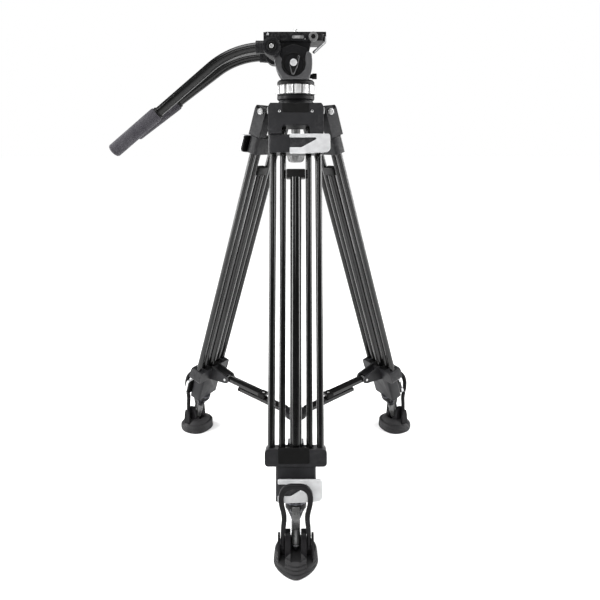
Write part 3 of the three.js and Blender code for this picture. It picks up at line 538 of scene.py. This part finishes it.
def leg(number):
    lean, upright = leg_matrices(number)
    upper, mid, low_body = (f"leg_{number}_{part}" for part in ("upper", "mid", "low"))
    name = f"leg_{number}_"

    # upper stage
    from_cad(name + "yoke", YOKE_PAINT, width=0.0013)
    low, high = local_box(name + "inner_tubes", lean)
    guide_top = low.z + GUIDE_HEIGHT
    for side in (-1, 1):
        tube = add_lathe(f"{name}inner_tube_{'left' if side < 0 else 'right'}",
                         tube_profile(INNER_TUBE, INNER_WALL, guide_top, high.z),
                         lean @ shift(side * INNER_SPACING), ANODISED, upper, sides=40)
        if side < 0:
            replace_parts(tube, name + "inner_tubes")
    guide = box_outline(-36, 36, -15, 15, 5)
    ring = circle(STEM + 0.4)
    add_prism(name + "inner_guide", guide, GUIDE_HEIGHT,
              lean @ shift(z=guide_top - GUIDE_HEIGHT / 2) @ Matrix.Rotation(math.pi / 2, 4, "X"),
              KNOB, upper, holes=[ring], edge=0.6)

    # middle stage
    from_cad(name + "upper_clamp", YOKE_PAINT, width=0.0012)
    from_cad(name + "lower_clamp", YOKE_PAINT, width=0.0012)
    low, high = local_box(name + "lower_clamp", lean)
    collar_low = high.z - COLLAR_HEIGHT
    add_prism(name + "collar_panel", box_outline(-35, 27, collar_low + 1.2, high.z - 1.2, 2.4), 1.2,
              lean @ shift(y=COLLAR_FRONT), KNOB, mid, edge=0.5)
    for side in ("left", "right"):
        node = f"{name}outer_tube_{side}"
        low, high = local_box(node, lean)
        tube = add_lathe(node + "_skin", tube_profile(OUTER_TUBE, OUTER_WALL, low.z, high.z),
                         lean @ shift((low.x + high.x) / 2), ANODISED, mid, sides=40)
        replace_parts(tube, node)
    flip_lever(number, "upper", lean, f"leg_{number}_top_lever")
    flip_lever(number, "lower", lean, f"leg_{number}_bottom_lever")

    # lower stage
    low, high = local_box(name + "centre_tube", lean)
    stem = add_lathe(name + "centre_stem", tube_profile(STEM, STEM_WALL, low.z,
                                                        high.z - STEM_GUIDE_HEIGHT + 2), lean, ANODISED,
                     low_body, sides=48)
    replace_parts(stem, name + "centre_tube")
    add_prism(name + "stem_guide", box_outline(-20.6, 20.6, -9, 9, 4), STEM_GUIDE_HEIGHT,
              lean @ shift(z=high.z - STEM_GUIDE_HEIGHT / 2) @ Matrix.Rotation(math.pi / 2, 4, "X"), KNOB,
              low_body, edge=1.2)
    low, high = local_box(name + "foot", lean)
    end, top = low.z, high.z
    add_lathe(name + "spike", [(0, end), (1.6, end), (2.6, end + 0.8), (8.2, end + 11.2),
                               (8.6, end + 12.6), (8.6, top - 37.4), (9.4, top - 34.5),
                               (14.2, top - 24), (17.5, top - 18), (20.2, top - 14.5),
                               (21, top - 12), (21, top - 5), (20, top - 4), (20, top - 2.6),
                               (21, top - 1.8), (20.6, top - 0.3), (0, top)], lean, CASTING,
              low_body, sides=48)
    add_lathe(name + "spike_rod", [(0, end + 10), (8.0, end + 11), (8.9, end + 12.8), (8.9, top - 40),
                                   (8.4, top - 39), (0, top - 39)], lean, SPIKE_GREY, low_body,
              sides=48)
    web = rounded([(-21.8, top - 7), (-21.8, top - 31), (-8.4, top - 54), (0, top - 54), (0, top - 7)], 3)
    add_prism(name + "spike_web", web, 14.5, lean @ Matrix.Rotation(math.pi / 2, 4, "Z"), SPIKE_GREY,
              low_body, edge=3.0, segments=4)
    add_lathe(name + "spike_tip", [(0, end - 0.1), (1.7, end - 0.1), (3.0, end + 0.7), (7.4, end + 9.6),
                                   (7.7, end + 10.6), (0, end + 10.6)], lean, SILVER, low_body,
              sides=40)
    shoe(number, upright)
    rail(number, upright)


def bezier(p0, p1, p2, p3, steps):
    out = []
    for i in range(steps):
        t = i / steps
        u = 1 - t
        out.append(tuple(u ** 3 * a + 3 * u * u * t * b + 3 * u * t * t * c + t ** 3 * d
                         for a, b, c, d in zip(p0, p1, p2, p3)))
    return out


def sole_outline(w, h):
    """Pointed toe towards -Y, rounder heel."""
    toe = bezier((-w, 0), (-w, -h * 0.45), (-w * 0.35, -h), (0, -h), 16)
    heel = bezier((w, 0), (w, h * 0.7), (w * 0.6, h), (0, h), 16)[1:]
    return toe + [(-x, y) for x, y in toe[::-1]] + heel + [(-x, y) for x, y in heel[::-1]]


def sole_mesh(w, h, layers, matrix):
    """Stacked outlines as (inset at the sides, inset at the toe, height); the heel stays put."""
    bm = bmesh.new()
    rings = []
    for inset, toe, z in layers:
        kx, ky = (w - inset) / w, (2 * h - inset - toe) / (2 * h)
        rings.append([bm.verts.new((kx * x, ky * y + (toe - inset) / 2, z)) for x, y in sole_outline(w, h)])
    n = len(rings[0])
    for a, b in zip(rings, rings[1:]):
        for i in range(n):
            j = (i + 1) % n
            bm.faces.new((a[i], a[j], b[j], b[i]))
    bm.faces.new(rings[0][::-1])
    bm.faces.new(rings[-1])
    return mesh_from(bm, "sole", matrix)


def shoe(number, upright):
    pad = f"leg_{number}_shoe_pad"
    body = f"leg_{number}_shoe"
    low, high = local_box(pad, upright)
    w, h = (high.x - low.x) / 2, (high.y - low.y) / 2
    centre = (low.y + high.y) / 2
    place = upright @ shift(y=centre)
    layers = [(3.0, 3.5, 0), (0.8, 1.2, 0.8)]
    for step in range(4):
        z, toe = 1.4 + step * 5.0, step * 4.2
        layers += [(0.6 * step, toe, z), (0.6 * step, toe, z + 3.2), (0.6 * step + 0.5, toe + 0.8, z + 4.0),
                   (0.6 * step + 1.4, toe + 3.2, z + 4.3)]
    layers += [(3.2, 17.5, 21.8), (5.0, 19.5, 22.8), (8.5, 22.5, 22.2), (13.5, 26, 27.5), (18.5, 30, 31.4),
               (22.5, 34, 33)]
    strap_line = local_box(f"leg_{number}_shoe_strap", upright)
    line = (strap_line[0].y + strap_line[1].y) / 2 - centre
    cutters = [block_mesh((-10, -h + 20, 17), (10, 26, 80), place)]
    for s in (-1, 1):
        x0, x1 = sorted((s * 20.6, s * 33.5))
        cutters.append(block_mesh((x0, line - 26, 12), (x1, line + 5.9, 80), place))
    sole = new_object(pad + "_sole", carve(sole_mesh(w, h, layers, place), cutters), RUBBER, body,
                      smooth=38)
    bevel(sole, 0.0007, 2, 50)
    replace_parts(sole, pad)
    ear = rounded([(-18, 14), (18, 14), (12.5, 57), (9, 66), (-7, 66), (-12.5, 57)], 5)
    for s in (-1, 1):
        side = "left" if s < 0 else "right"
        add_prism(f"{pad}_ear_{side}", ear, 10.4, place @ shift(x=s * 15.3)
                  @ Matrix.Rotation(math.pi / 2, 4, "Z"), RUBBER_DARK, body, edge=1.8,
                  segments=3)
        rib = rounded([(-13, 16), (13, 16), (8.5, 52), (-8.5, 52)], 4)
        add_prism(f"{pad}_ear_rib_{side}", rib, 11.6, place @ shift(x=s * 15.3)
                  @ Matrix.Rotation(math.pi / 2, 4, "Z"), RUBBER_DARK, body, edge=0.8)
        fin = rounded([(-10, 12), (12, 12), (9.5, 50), (7, 63.5), (-4, 63.5), (-7.5, 48)], 4)
        add_prism(f"{pad}_fin_{side}", fin, 4.4, place @ shift(x=s * 32.6, y=line)
                  @ Matrix.Rotation(math.pi / 2, 4, "Z"), RUBBER_DARK, body, edge=1.2)
        add_lathe(f"{pad}_peg_{side}", rod_profile(3, 14, 32, 0.8),
                  place @ shift(y=line, z=36) @ Matrix.Rotation(s * math.pi / 2, 4, "Y"), RUBBER, body,
                  sides=24)
    strap_loop(number, upright)


def strap_loop(number, upright):
    strap = f"leg_{number}_shoe_strap"
    body = f"leg_{number}_strap"
    low, high = local_box(strap, upright)
    y = (low.y + high.y) / 2
    hinge = low.z + 5.5
    side = [(29.5, hinge), (29.5, 58), (28.6, 78), (27.2, 96), (29, 111), (32.2, 126), (33, 142), (30, 155),
            (22.5, 164.5), (12, 168.6), (4, 169)]
    outer = smooth_line(side + [(-x, z) for x, z in reversed(side)], 4, closed=False)
    inner_side = [(21, hinge), (21, 58), (19.2, 78), (17.4, 96), (19, 110), (22.2, 125), (22.8, 140),
                  (20.2, 149.5), (14.6, 155.6), (8, 158.4), (3, 158.8)]
    inner = smooth_line(inner_side + [(-x, z) for x, z in reversed(inner_side)], 4, closed=False)
    loop = add_prism(strap + "_loop", outer + inner[::-1], 8.5, upright @ shift(y=y), RUBBER_DARK, body,
                     edge=2.6, segments=3)
    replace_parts(loop, strap)
    for s in (-1, 1):
        side_name = "left" if s < 0 else "right"
        add_lathe(f"{strap}_eye_{side_name}", tube_profile(5.4, 2.0, -4.25, 4.25, 1.2),
                  upright @ shift(s * 25.25, y, hinge) @ turn_to("x"), RUBBER_DARK, body)


def channel(half, height, lip):
    """Section of a spreader rail: a flat bar with a sunk face and rolled edges."""
    h = height / 2
    return rounded([(-half, -h), (half, -h), (half, h), (half - 3.2, h), (half - 3.8, h - lip),
                    (-half + 3.8, h - lip), (-half + 3.2, h), (-half, h)], 0.8, 2)


def spreader_bar(node, place, start, end, body):
    section = [(-x, z) for x, z in channel(BAR_HALF, BAR_DEPTH, BAR_LIP)]
    mesh = sweep_mesh(node, [Vector((0, start, 0)), Vector((0, end, 0))], section, place,
                      up=Vector((0, 0, 1)))
    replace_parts(new_object(node + "_bar", mesh, ANODISED, body), node)


def rail(number, upright):
    """A rail hinged on the leg, and the hub's arm that it slides on."""
    node = f"leg_{number}_spreader_rail"
    high = local_box(node, upright)[1]
    hinge = upright.inverted() @ Vector(JOINTS[f"leg_{number}_rail_turn"]["pos_m"])
    length = (high.y - hinge.y) / math.cos(SPREADER_SLOPE)
    place = upright @ Matrix.Translation(hinge) @ Matrix.Rotation(-SPREADER_SLOPE, 4, "X")
    body = f"leg_{number}_rail"
    spreader_bar(node, place, -6, length - 1, body)
    add_lathe(node + "_pin", rod_profile(RAIL_PIN, -17, 17, 0.5), place @ turn_to("x"), STEEL, body,
              sides=32)
    slider = length - 10
    add_prism(node + "_slider", box_outline(-12.6, 12.6, -5.6, 5.2, 1.6), 17, place @ shift(y=slider), KNOB,
              body, edge=0.8)
    screw_head(node + "_slider_screw", place @ shift(0, slider, 5.2), 3.0, 1.2, STEEL, body)

    node = f"spreader_arm_{number}"
    low, high = local_box(node, upright)
    length = (high.y - low.y - BAR_DEPTH * math.sin(SPREADER_SLOPE)) / math.cos(SPREADER_SLOPE)
    place = (upright @ shift(0, low.y, high.z - BAR_DEPTH / 2 * math.cos(SPREADER_SLOPE))
             @ Matrix.Rotation(-SPREADER_SLOPE, 4, "X"))
    spreader_bar(node, place, 1, length, "hub")
    add_prism(node + "_end", box_outline(-BAR_HALF, BAR_HALF, -4.6, 4.4, 1.2), 9, place @ shift(y=5), KNOB,
              "hub", edge=0.6)


for leg_number in (1, 2, 3):
    leg(leg_number)


# ---- crown, hub and bowl clamp ------------------------------------------------------

def hinge_caps():
    """Light discs on the ends of the leg hinge pins."""
    for number in (1, 2, 3):
        lean = leg_matrices(number)[0]
        for s in (-1, 1):
            side = "left" if s < 0 else "right"
            place = lean @ shift(x=s * 60.2) @ Matrix.Rotation(s * math.pi / 2, 4, "Y")
            add_lathe(f"hinge_cap_{number}_{side}", [(0, 0.2), (7.6, 0.2), (7.9, 0.8), (7.2, 2.6),
                                                     (5.8, 3.2), (3.4, 3.3), (3.0, 2.2), (0, 2.2)], place,
                      PIN_GREY, "crown", sides=40)
        # dark plate on the yoke's front over the hinge lug, painted shade standing in for the shaded recess
        # between the yoke's ears, with two screws beside it
        low = local_box(f"leg_{number}_yoke", lean)[0]
        add_prism(f"hinge_cover_{number}", box_outline(-30, 30, -11, 10.5, 3.5), 1.4,
                  lean @ shift(y=low.y - 0.2), KNOB, f"leg_{number}_upper", edge=0.9)
        for s in (-1, 1):
            side = "left" if s < 0 else "right"
            screw_head(f"yoke_front_screw_{number}_{side}",
                       lean @ shift(s * 35.5, low.y + 0.2, -8) @ Matrix.Rotation(math.pi / 2, 4, "X"), 3.0,
                       1.0, STEEL, f"leg_{number}_upper")


def crown_and_clamp():
    from_cad("crown", CASTING, width=0.001)
    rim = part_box("crown")[1].z * TO_MM
    add_lathe("bowl_rim", [(38.2, rim - 4), (45.4, rim - 4), (45.8, rim - 2.6), (45.4, rim - 0.3),
                           (44.6, rim + 0.1), (38.6, rim + 0.1), (38.2, rim - 0.4)], HEAD, CASTING, "crown",
              sides=72)
    low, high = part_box("bowl_clamp_knob")
    z0, z1 = low.z * TO_MM, high.z * TO_MM

    def grips(a, r, z):
        return 1.0 - (0.05 * (0.5 - 0.5 * math.cos(9 * a)) if r > 17 else 0.0)
    knob = add_lathe("clamp_knob", [(0, z0), (12, z0), (17, z0 + 2.5), (20, z0 + 8), (21, z0 + 13),
                                    (21, z0 + 26), (19, z0 + 30), (15, z0 + 36.5), (11.4, z0 + 39),
                                    (10.4, z0 + 41), (10.4, z1 - 7), (29, z1 - 3.5), (30, z1 - 2.5),
                                    (30, z1), (0, z1)], HEAD, KNOB_GREY, "clamp_knob",
                     sides=108, wave=grips)
    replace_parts(knob, "bowl_clamp_knob")


def hub():
    low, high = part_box("spreader_hub")
    z0, z1 = low.z * TO_MM, high.z * TO_MM
    body = add_lathe("hub_body", [(0, z0), (23, z0), (26.6, z0 + 2.4), (27, z0 + 4), (27, z1 - 4.5),
                                  (26, z1 - 2.6), (22.5, z1), (0, z1)], HEAD, CASTING, "hub",
                     sides=64)
    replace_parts(body, "spreader_hub")
    screw_head("hub_screw", HEAD @ shift(z=z1), 5.5, 1.6, STEEL, "hub")
    for number in (1, 2, 3):
        upright = leg_matrices(number)[1]
        add_prism(f"hub_yoke_{number}", box_outline(-13.5, 13.5, z0 + 1.5, z1 - 0.5, 2.5), 14,
                  upright @ shift(y=-27), CASTING, "hub", edge=1.0)


# ---- fluid head ---------------------------------------------------------------------

CLAMP_FRONT = -40.0  # front face of the plate clamp
RING_FLUTES = 15
WING_FACE = -55.9  # front of the tilt lock's wing


def rings_of_the_head():
    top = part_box("pan_base")[1].z * TO_MM
    ring_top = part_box("drag_ring")[0].z * TO_MM - 0.4
    neck_bottom = ring_top - 23
    ball = neck_bottom - 8.4
    base = add_lathe("head_neck", [(0, ball - 30), (17, ball - 30), (31, ball - 19), (37.5, ball),
                                   (37.5, neck_bottom), (39.2, neck_bottom), (39.8, neck_bottom + 0.8),
                                   (39.8, neck_bottom + 7.5), (38.6, neck_bottom + 8.6),
                                   (38.6, neck_bottom + 10), (40.5, neck_bottom + 10.6),
                                   (42.4, neck_bottom + 12.4), (42.7, neck_bottom + 14),
                                   (42.7, ring_top - 3.6), (41.6, ring_top - 2.6), (42.7, ring_top - 1.8),
                                   (42.5, ring_top - 0.4), (41.8, ring_top), (22, ring_top), (22, top),
                                   (0, top)], HEAD, CASTING, "crown", sides=96)
    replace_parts(base, "pan_base")
    low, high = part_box("drag_ring")
    z0, z1 = low.z * TO_MM, high.z * TO_MM
    pitch = 2 * math.pi / RING_FLUTES

    def flutes(a, r, z):
        if r < 44:
            return 1.0
        t = abs((a / pitch) % 1.0 - 0.5) * 2
        return 1.0 - 0.062 * max(0.0, min(1.0, (t - 0.58) / 0.26)) + 0.004 * (1 - t)
    ring = add_lathe("fluted_ring", [(22.4, z0), (44.2, z0), (45.2, z0 + 0.5), (45.8, z0 + 1.6),
                                     (45.8, z1 - 1.6), (45.2, z1 - 0.5), (44.2, z1), (22.4, z1)], HEAD,
                     RING_SILVER, "drag_ring", sides=300, wave=flutes)
    # painted shade: faces inside the flute grooves take the darker RING_SHADE silver
    ring.data.materials.append(RING_SHADE)
    for polygon in ring.data.polygons:
        c = Vector(polygon.center) - AXIS
        if abs(polygon.normal.z) < 0.5 and 0.0402 < math.hypot(c.x, c.y) < 0.0438:
            polygon.material_index = 1
    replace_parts(ring, "drag_ring")


def pan_head():
    """Turning part: ring, cheeks with their lighter fork, the axle, the wing lever and the small knob."""
    ring_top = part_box("drag_ring")[1].z * TO_MM
    z0, z1 = ring_top + 0.4, ring_top + 11.6
    base = add_lathe("turning_ring", [(0, z0), (41.6, z0), (42.5, z0 + 1), (42.5, z0 + 3.4), (41.9, z0 + 4),
                                      (42.5, z0 + 4.6), (42.3, z0 + 7), (39.5, z1 - 0.8), (38, z1),
                                      (0, z1)], HEAD, CASTING, "pan_head", sides=96)
    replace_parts(base, "head_base")
    pivot = HEAD.inverted() @ Vector(JOINTS["tilt"]["pos_m"])
    x, z = pivot.x, pivot.z
    outer = [(-30.5, z1 - 2), (28, z1 - 2), (33, z - 22), (36, z - 12), (36.5, z + 5), (35, z + 20),
             (28, z + 26)]
    fork_in = [(x + 26.6 * math.cos(math.radians(t)), z + 26.6 * math.sin(math.radians(t)))
               for t in range(20, -201, -11)]
    fork = outer + [(23, z + 24)] + fork_in + [(-36, z + 18), (-47, z + 14), (-47.5, z + 4), (-45, z - 6),
                                               (-40, z - 17), (-33.5, z - 27)]
    for s in (-1, 1):
        side = "near" if s < 0 else "far"
        add_prism("fork_" + side, rounded(fork, 2.4), 12, HEAD @ shift(y=s * 39), CHEEK_GREY, "pan_head",
                  edge=1.4, segments=3)
        plate = rounded([(-29, z1), (24, z1), (33, z - 20), (34.5, z + 12), (24, z + 33), (x, z + 42),
                         (-28, z + 34), (-43, z + 12), (-38, z - 16)], 5)
        add_prism("cheek_" + side, plate, 9, HEAD @ shift(y=s * 38.2), CASTING, "pan_head",
                  edge=1.0)
        add_lathe("drum_ring_" + side, [(20.5, 42.4), (23.8, 42.4), (24.4, 43.0), (24.4, 43.6),
                                        (23.6, 44.2), (21, 44.2), (20.5, 43.6)],
                  HEAD @ shift(x, 0, z) @ Matrix.Rotation(s * -math.pi / 2, 4, "X"), KNOB, "pan_head",
                  sides=72)
    axle = add_lathe("axle", rod_profile(9, -46.4, 46.4, 0.8), HEAD @ shift(x, 0, z) @ turn_to("y"), STEEL,
                     "pan_head")
    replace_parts(axle, "tilt_axle")
    screw_head("axle_screw", HEAD @ shift(x, 46.4, z) @ turn_to("y"), 7.5, 1.4, KNOB, "pan_head")
    from_cad("tilt_lock_lever", CHEEK_GREY, width=0.0008)
    low, high = local_box("tilt_lock_lever", HEAD)
    wing_face = [(-4.2, 4), (-7.0, -3), (-2.6, -21), (0.4, -21.6), (6.9, -7.2), (11.4, 13), (9.8, 13.6),
                 (5.4, 1.5)]
    add_prism("tilt_wing_face", rounded(wing_face, 1.6), 1.0, HEAD @ shift(x, WING_FACE, z), KNOB,
              "tilt_lock", edge=0.3)
    add_lathe("tilt_hub", [(0, 0), (9.4, 0), (9.4, 3.4), (8.6, 4.2), (0, 4.2)],
              HEAD @ shift(x, -52.2, z) @ Matrix.Rotation(math.pi / 2, 4, "X"), KNOB, "tilt_lock")
    add_lathe("tilt_cap", [(0, 0), (6.6, 0), (7.6, 0.6), (7.6, 1.8), (6.9, 2.5), (4.4, 2.8), (4.0, 2.2),
                           (0, 2.2)], HEAD @ shift(x, low.y + 0.9, z)
              @ Matrix.Rotation(math.pi / 2, 4, "X"), SILVER, "tilt_lock", sides=48)
    low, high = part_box("pan_lock_knob")
    c = HEAD.inverted() @ ((low + high) / 2)

    def lobes(a, r, z):
        return 1.0 - (0.1 * (0.5 - 0.5 * math.cos(6 * a)) if r > 5.2 else 0.0)
    knob = add_lathe("pan_lock", [(0, 32.4), (5, 32.4), (5, 37.2), (6.2, 37.4), (6.5, 38.4), (6.5, 46.6),
                                  (5.8, 47.8), (0, 48)], HEAD @ shift(0, 0, c.z) @ turn_to("x"), KNOB,
                     "pan_lock", sides=60, wave=lobes)
    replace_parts(knob, "pan_lock_knob")


def tilt_head():
    from_cad("tilt_head", CASTING, width=0.0012)
    low, high = local_box("tilt_head", HEAD)
    front, clamp_top = CLAMP_FRONT, high.z
    add_prism("level_frame", box_outline(-11.5, 21, clamp_top - 13.6, clamp_top - 1.6, 5.9), 1.6,
              HEAD @ shift(y=front - 0.5), CASTING, "tilt",
              holes=[box_outline(-8.8, 18.3, clamp_top - 11.2, clamp_top - 4.0, 3.5)], edge=0.5)
    add_prism("level_window", box_outline(-8.6, 18.1, clamp_top - 11.0, clamp_top - 4.2, 3.3), 0.8,
              HEAD @ shift(y=front - 0.35), LEVEL, "tilt", edge=0.3)
    screw_head("clamp_screw_left", HEAD @ shift(-60.5, low.y - 0.2, clamp_top - 4)
               @ Matrix.Rotation(math.pi / 2, 4, "X"), 2.6, 1.2, SILVER, "tilt")
    screw_head("clamp_screw_low", HEAD @ shift(20, front, clamp_top - 11.5)
               @ Matrix.Rotation(math.pi / 2, 4, "X"), 1.6, 0.7, STEEL, "tilt")
    for s in (-1, 1):
        side = "near" if s < 0 else "far"
        centre = HEAD.inverted() @ Vector(JOINTS[f"bar_{side}_angle"]["pos_m"])
        turned = HEAD @ shift(centre.x, 0, centre.z) @ Matrix.Rotation(s * -math.pi / 2, 4, "X")

        def teeth(a, r, z):
            return 1.0 + (0.012 * math.sin(36 * a) if r > 19 else 0.0)
        add_lathe("rosette_" + side, [(0, 45.9), (18.6, 45.9), (19.2, 46.6), (19.2, 51.2), (18.4, 52.0),
                                      (12, 52.0), (0, 52.0)], turned, CASTING, "tilt",
                  sides=216, wave=teeth)


def camera_plate():
    from_cad("camera_plate", CASTING, width=0.0007)
    low, high = local_box("camera_plate", HEAD)
    for s in (-1, 1):
        side = "left" if s < 0 else "right"
        x0, x1 = sorted((s * 37, s * 61))
        add_prism("plate_pad_" + side, box_outline(x0, x1, -21, 21, 3), 0.4,
                  HEAD @ shift(z=high.z - 0.15) @ Matrix.Rotation(math.pi / 2, 4, "X"), PLATE_PAD, "plate")
        y0, y1 = sorted((s * 8, s * 21))
        add_prism("plate_strip_" + side, box_outline(-33, 33, y0, y1, 2), 0.4,
                  HEAD @ shift(z=high.z - 0.15) @ Matrix.Rotation(math.pi / 2, 4, "X"), PLATE_PAD, "plate")
    from_cad("camera_screw", STEEL, width=0.0003)
    low, high = local_box("plate_lock_knob", HEAD)
    knob_place = HEAD @ shift((low.x + high.x) / 2, CLAMP_FRONT - 0.4, (low.z + high.z) / 2) @ turn_to("y")

    def knurl(a, r, z):
        return 1.0 + (0.02 * math.sin(28 * a) if r > 9.4 else 0.0)
    knob = add_lathe("plate_lock", [(0, 8), (4, 8), (4, -0.2), (9.6, 0), (10.2, -0.8), (10.2, -7.4),
                                    (9.4, -8.6), (7.4, -9), (5.2, -9), (4.8, -7.6), (0, -7.6)], knob_place,
                     KNOB_GREY, "plate_lock", sides=168, wave=knurl)
    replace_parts(knob, "plate_lock_knob")
    add_lathe("plate_lock_centre", [(0, -7.5), (4.6, -7.5), (4.6, -8.0), (3.6, -8.4), (0, -8.4)],
              knob_place, KNOB, "plate_lock", sides=32)
    from_cad("plate_release_lever", CASTING, width=0.001)
    low, high = local_box("plate_release_lever", HEAD)
    right, top, knee, tip = high.x - 0.2, high.z - 0.6, 1026.4, low.z + 0.4
    add_prism("release_edge", rounded([(right, top), (right, knee), (41.4, tip), (39.6, tip + 1.6),
                                       (right - 2.8, knee + 1.2), (right - 2.8, top)], 0.8), 1.4,
              HEAD @ shift(y=low.y), SILVER, "plate_release", edge=0.5)


# ---- pan bars -----------------------------------------------------------------------

BAR_TURN = math.radians(39.3)
BAR_RADIUS = 10.5
BAR_LEAD = 16.0  # straight part before the bend
BAR_BEND = 185.0
FAR_BAR_RAISE = math.radians(3.3)
NEAR_STRAIGHT, FAR_STRAIGHT = 279.0, 249.0
GRIP_LENGTH, GRIP_CAP = 132.0, 5.0


def bar_line(straight):
    points = [Vector((-x, 0, 0)) for x in (0, 6, 12)]
    for i in range(33):
        a = BAR_TURN * i / 32
        points.append(Vector((-BAR_LEAD - BAR_BEND * math.sin(a), 0, -BAR_BEND * (1 - math.cos(a)))))
    end = points[-1] + Vector((-math.cos(BAR_TURN), 0, -math.sin(BAR_TURN))) * straight
    return points + [points[-1].lerp(end, t) for t in (0.25, 0.5, 0.75, 1.0)], end


def pan_bar(side, straight):
    body = "bar_" + side
    s = -1 if side == "near" else 1
    centre = HEAD.inverted() @ Vector(JOINTS[body + "_angle"]["pos_m"])
    raise_by = FAR_BAR_RAISE if side == "far" else 0.0
    place = HEAD @ Matrix.Translation(centre) @ Matrix.Rotation(raise_by, 4, "Y")
    points, end = bar_line(straight)
    bar = new_object("bar_tube_" + side, sweep_mesh("bar", points, circle(BAR_RADIUS, 40), place), BAR, body,
                     smooth=40)
    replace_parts(bar, "pan_bar_" + side)
    add_lathe("bar_socket_" + side, [(0, -15), (17.6, -15), (19.2, -13.6), (19.2, 12.4), (18.2, 14.6),
                                     (14, 15), (13, 14.2), (0, 14.2)],
              place @ Matrix.Rotation(s * -math.pi / 2, 4, "X"), CASTING, body, sides=72)
    add_lathe("bar_sleeve_" + side, [(10.6, -34), (13.0, -34), (13.5, -33.4), (13.5, -27), (13.0, -26.4),
                                     (13.5, -25.8), (13.5, -4), (10.6, -4)], place @ turn_to("x"), CASTING,
              body, sides=56)
    add_lathe("bar_washer_" + side, [(0, 14), (9.2, 14), (9.8, 14.6), (9.8, 16), (9.0, 16.6), (0, 16.6)],
              place @ Matrix.Rotation(s * -math.pi / 2, 4, "X"), KNOB, body, sides=48)
    screw_head("bar_screw_" + side, place @ shift(y=s * 16.4) @ Matrix.Rotation(s * -math.pi / 2, 4, "X"),
               4.4, 2.8, STEEL, body, sides=48)
    down = place @ Matrix.Translation(end) @ Matrix.Rotation(math.pi / 2 - BAR_TURN, 4, "Y")
    cap = GRIP_CAP
    front = GRIP_LENGTH - cap
    foam = add_lathe("foam_grip_" + side, [(0, -cap), (6, -cap + 0.1), (10.5, -cap + 0.9),
                                           (13.4, -cap + 2.4), (15, -cap + 4.8), (15.5, 1.5),
                                           (15.5, front - 6), (15.2, front - 3), (14.2, front - 0.9),
                                           (12.6, front), (10.9, front), (10.9, -0.4), (0, -0.4)], down,
                     FOAM, body, sides=64, smooth=60)
    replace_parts(foam, "grip_" + side)
    add_lathe("grip_collar_" + side, [(10.5, front + 0.4), (12.6, front + 0.4), (12.9, front + 1.2),
                                      (12.9, front + 4), (12.2, front + 4.8), (10.5, front + 4.8)], down,
              KNOB, body)


hinge_caps()
crown_and_clamp()
hub()
rings_of_the_head()
pan_head()
tilt_head()
camera_plate()
pan_bar("near", NEAR_STRAIGHT)
pan_bar("far", FAR_STRAIGHT)


# ---- stage, light and camera --------------------------------------------------------

def floor():
    size = 30.0
    bm = bmesh.new()
    for x, y in ((-size, -size), (size, -size), (size, size), (-size, size)):
        bm.verts.new((x, y, -0.0004))
    bm.faces.new(bm.verts)
    mesh = bpy.data.meshes.new("floor")
    bm.to_mesh(mesh)
    bm.free()
    obj = bpy.data.objects.new("floor", mesh)
    scene.collection.objects.link(obj)
    n = Nodes("pale_floor")
    n.link(n.blend(n.noise(3.0), grey(0.93), grey(0.96)), "Base Color")
    n.shader.inputs["Roughness"].default_value = 0.9
    mesh.materials.append(n.material)


def area_light(name, place, target, size, power):
    data = bpy.data.lights.new(name, "AREA")
    data.shape = "RECTANGLE"
    data.size, data.size_y = size
    data.energy = power
    obj = bpy.data.objects.new(name, data)
    scene.collection.objects.link(obj)
    obj.location = AXIS + Vector(place)
    obj.rotation_euler = (Vector(target) - Vector(place)).to_track_quat("-Z", "Y").to_euler()


def world(shown, lighting):
    """White behind the object, and a dimmer light on it so that the blacks stay deep."""
    scene.world = bpy.data.worlds.new("soft_white")
    scene.world.use_nodes = True
    tree = scene.world.node_tree
    background = tree.nodes["Background"]
    background.inputs["Color"].default_value = (1, 1, 1, 1)
    path = tree.nodes.new("ShaderNodeLightPath")
    amount = tree.nodes.new("ShaderNodeMapRange")
    amount.inputs["To Min"].default_value = lighting
    amount.inputs["To Max"].default_value = shown
    tree.links.new(path.outputs["Is Camera Ray"], amount.inputs["Value"])
    tree.links.new(amount.outputs["Result"], background.inputs["Strength"])


def overhead(strength, spread):
    data = bpy.data.lights.new("overhead", "SUN")
    data.energy = strength
    data.angle = math.radians(spread)
    obj = bpy.data.objects.new("overhead", data)
    scene.collection.objects.link(obj)
    obj.rotation_euler = (math.radians(8), math.radians(-6), 0)


floor()
world(1.0, 0.1)
overhead(3.3, 50)
area_light("key_left", (-2.0, -0.7, 1.1), (0, 0, 0.55), (0.6, 2.0), 60)
area_light("key_right", (2.0, -0.5, 1.1), (0, 0, 0.55), (0.6, 2.0), 46)
area_light("rim_left", (-2.7, 1.4, 0.9), (0, 0, 0.5), (1.2, 2.2), 85)
area_light("rim_right", (2.7, 1.4, 0.9), (0, 0, 0.5), (1.2, 2.2), 75)
area_light("front_soft", (-0.5, -2.8, 2.2), (0, 0, 0.5), (0.8, 0.8), 10)

camera_data = bpy.data.cameras.new("camera")
camera = bpy.data.objects.new("camera", camera_data)
scene.collection.objects.link(camera)
scene.camera = camera
camera_data.sensor_width = 36.0
camera_data.lens = 31.46
camera_data.shift_x = 0.007
camera_data.shift_y = -0.113
camera_data.clip_start, camera_data.clip_end = 0.05, 100
camera.location = AXIS + Vector((0, -1.23981, 0.80707))
camera.rotation_euler = (math.radians(90 - 9.61), 0, 0)
scene.view_settings.view_transform = "Standard"
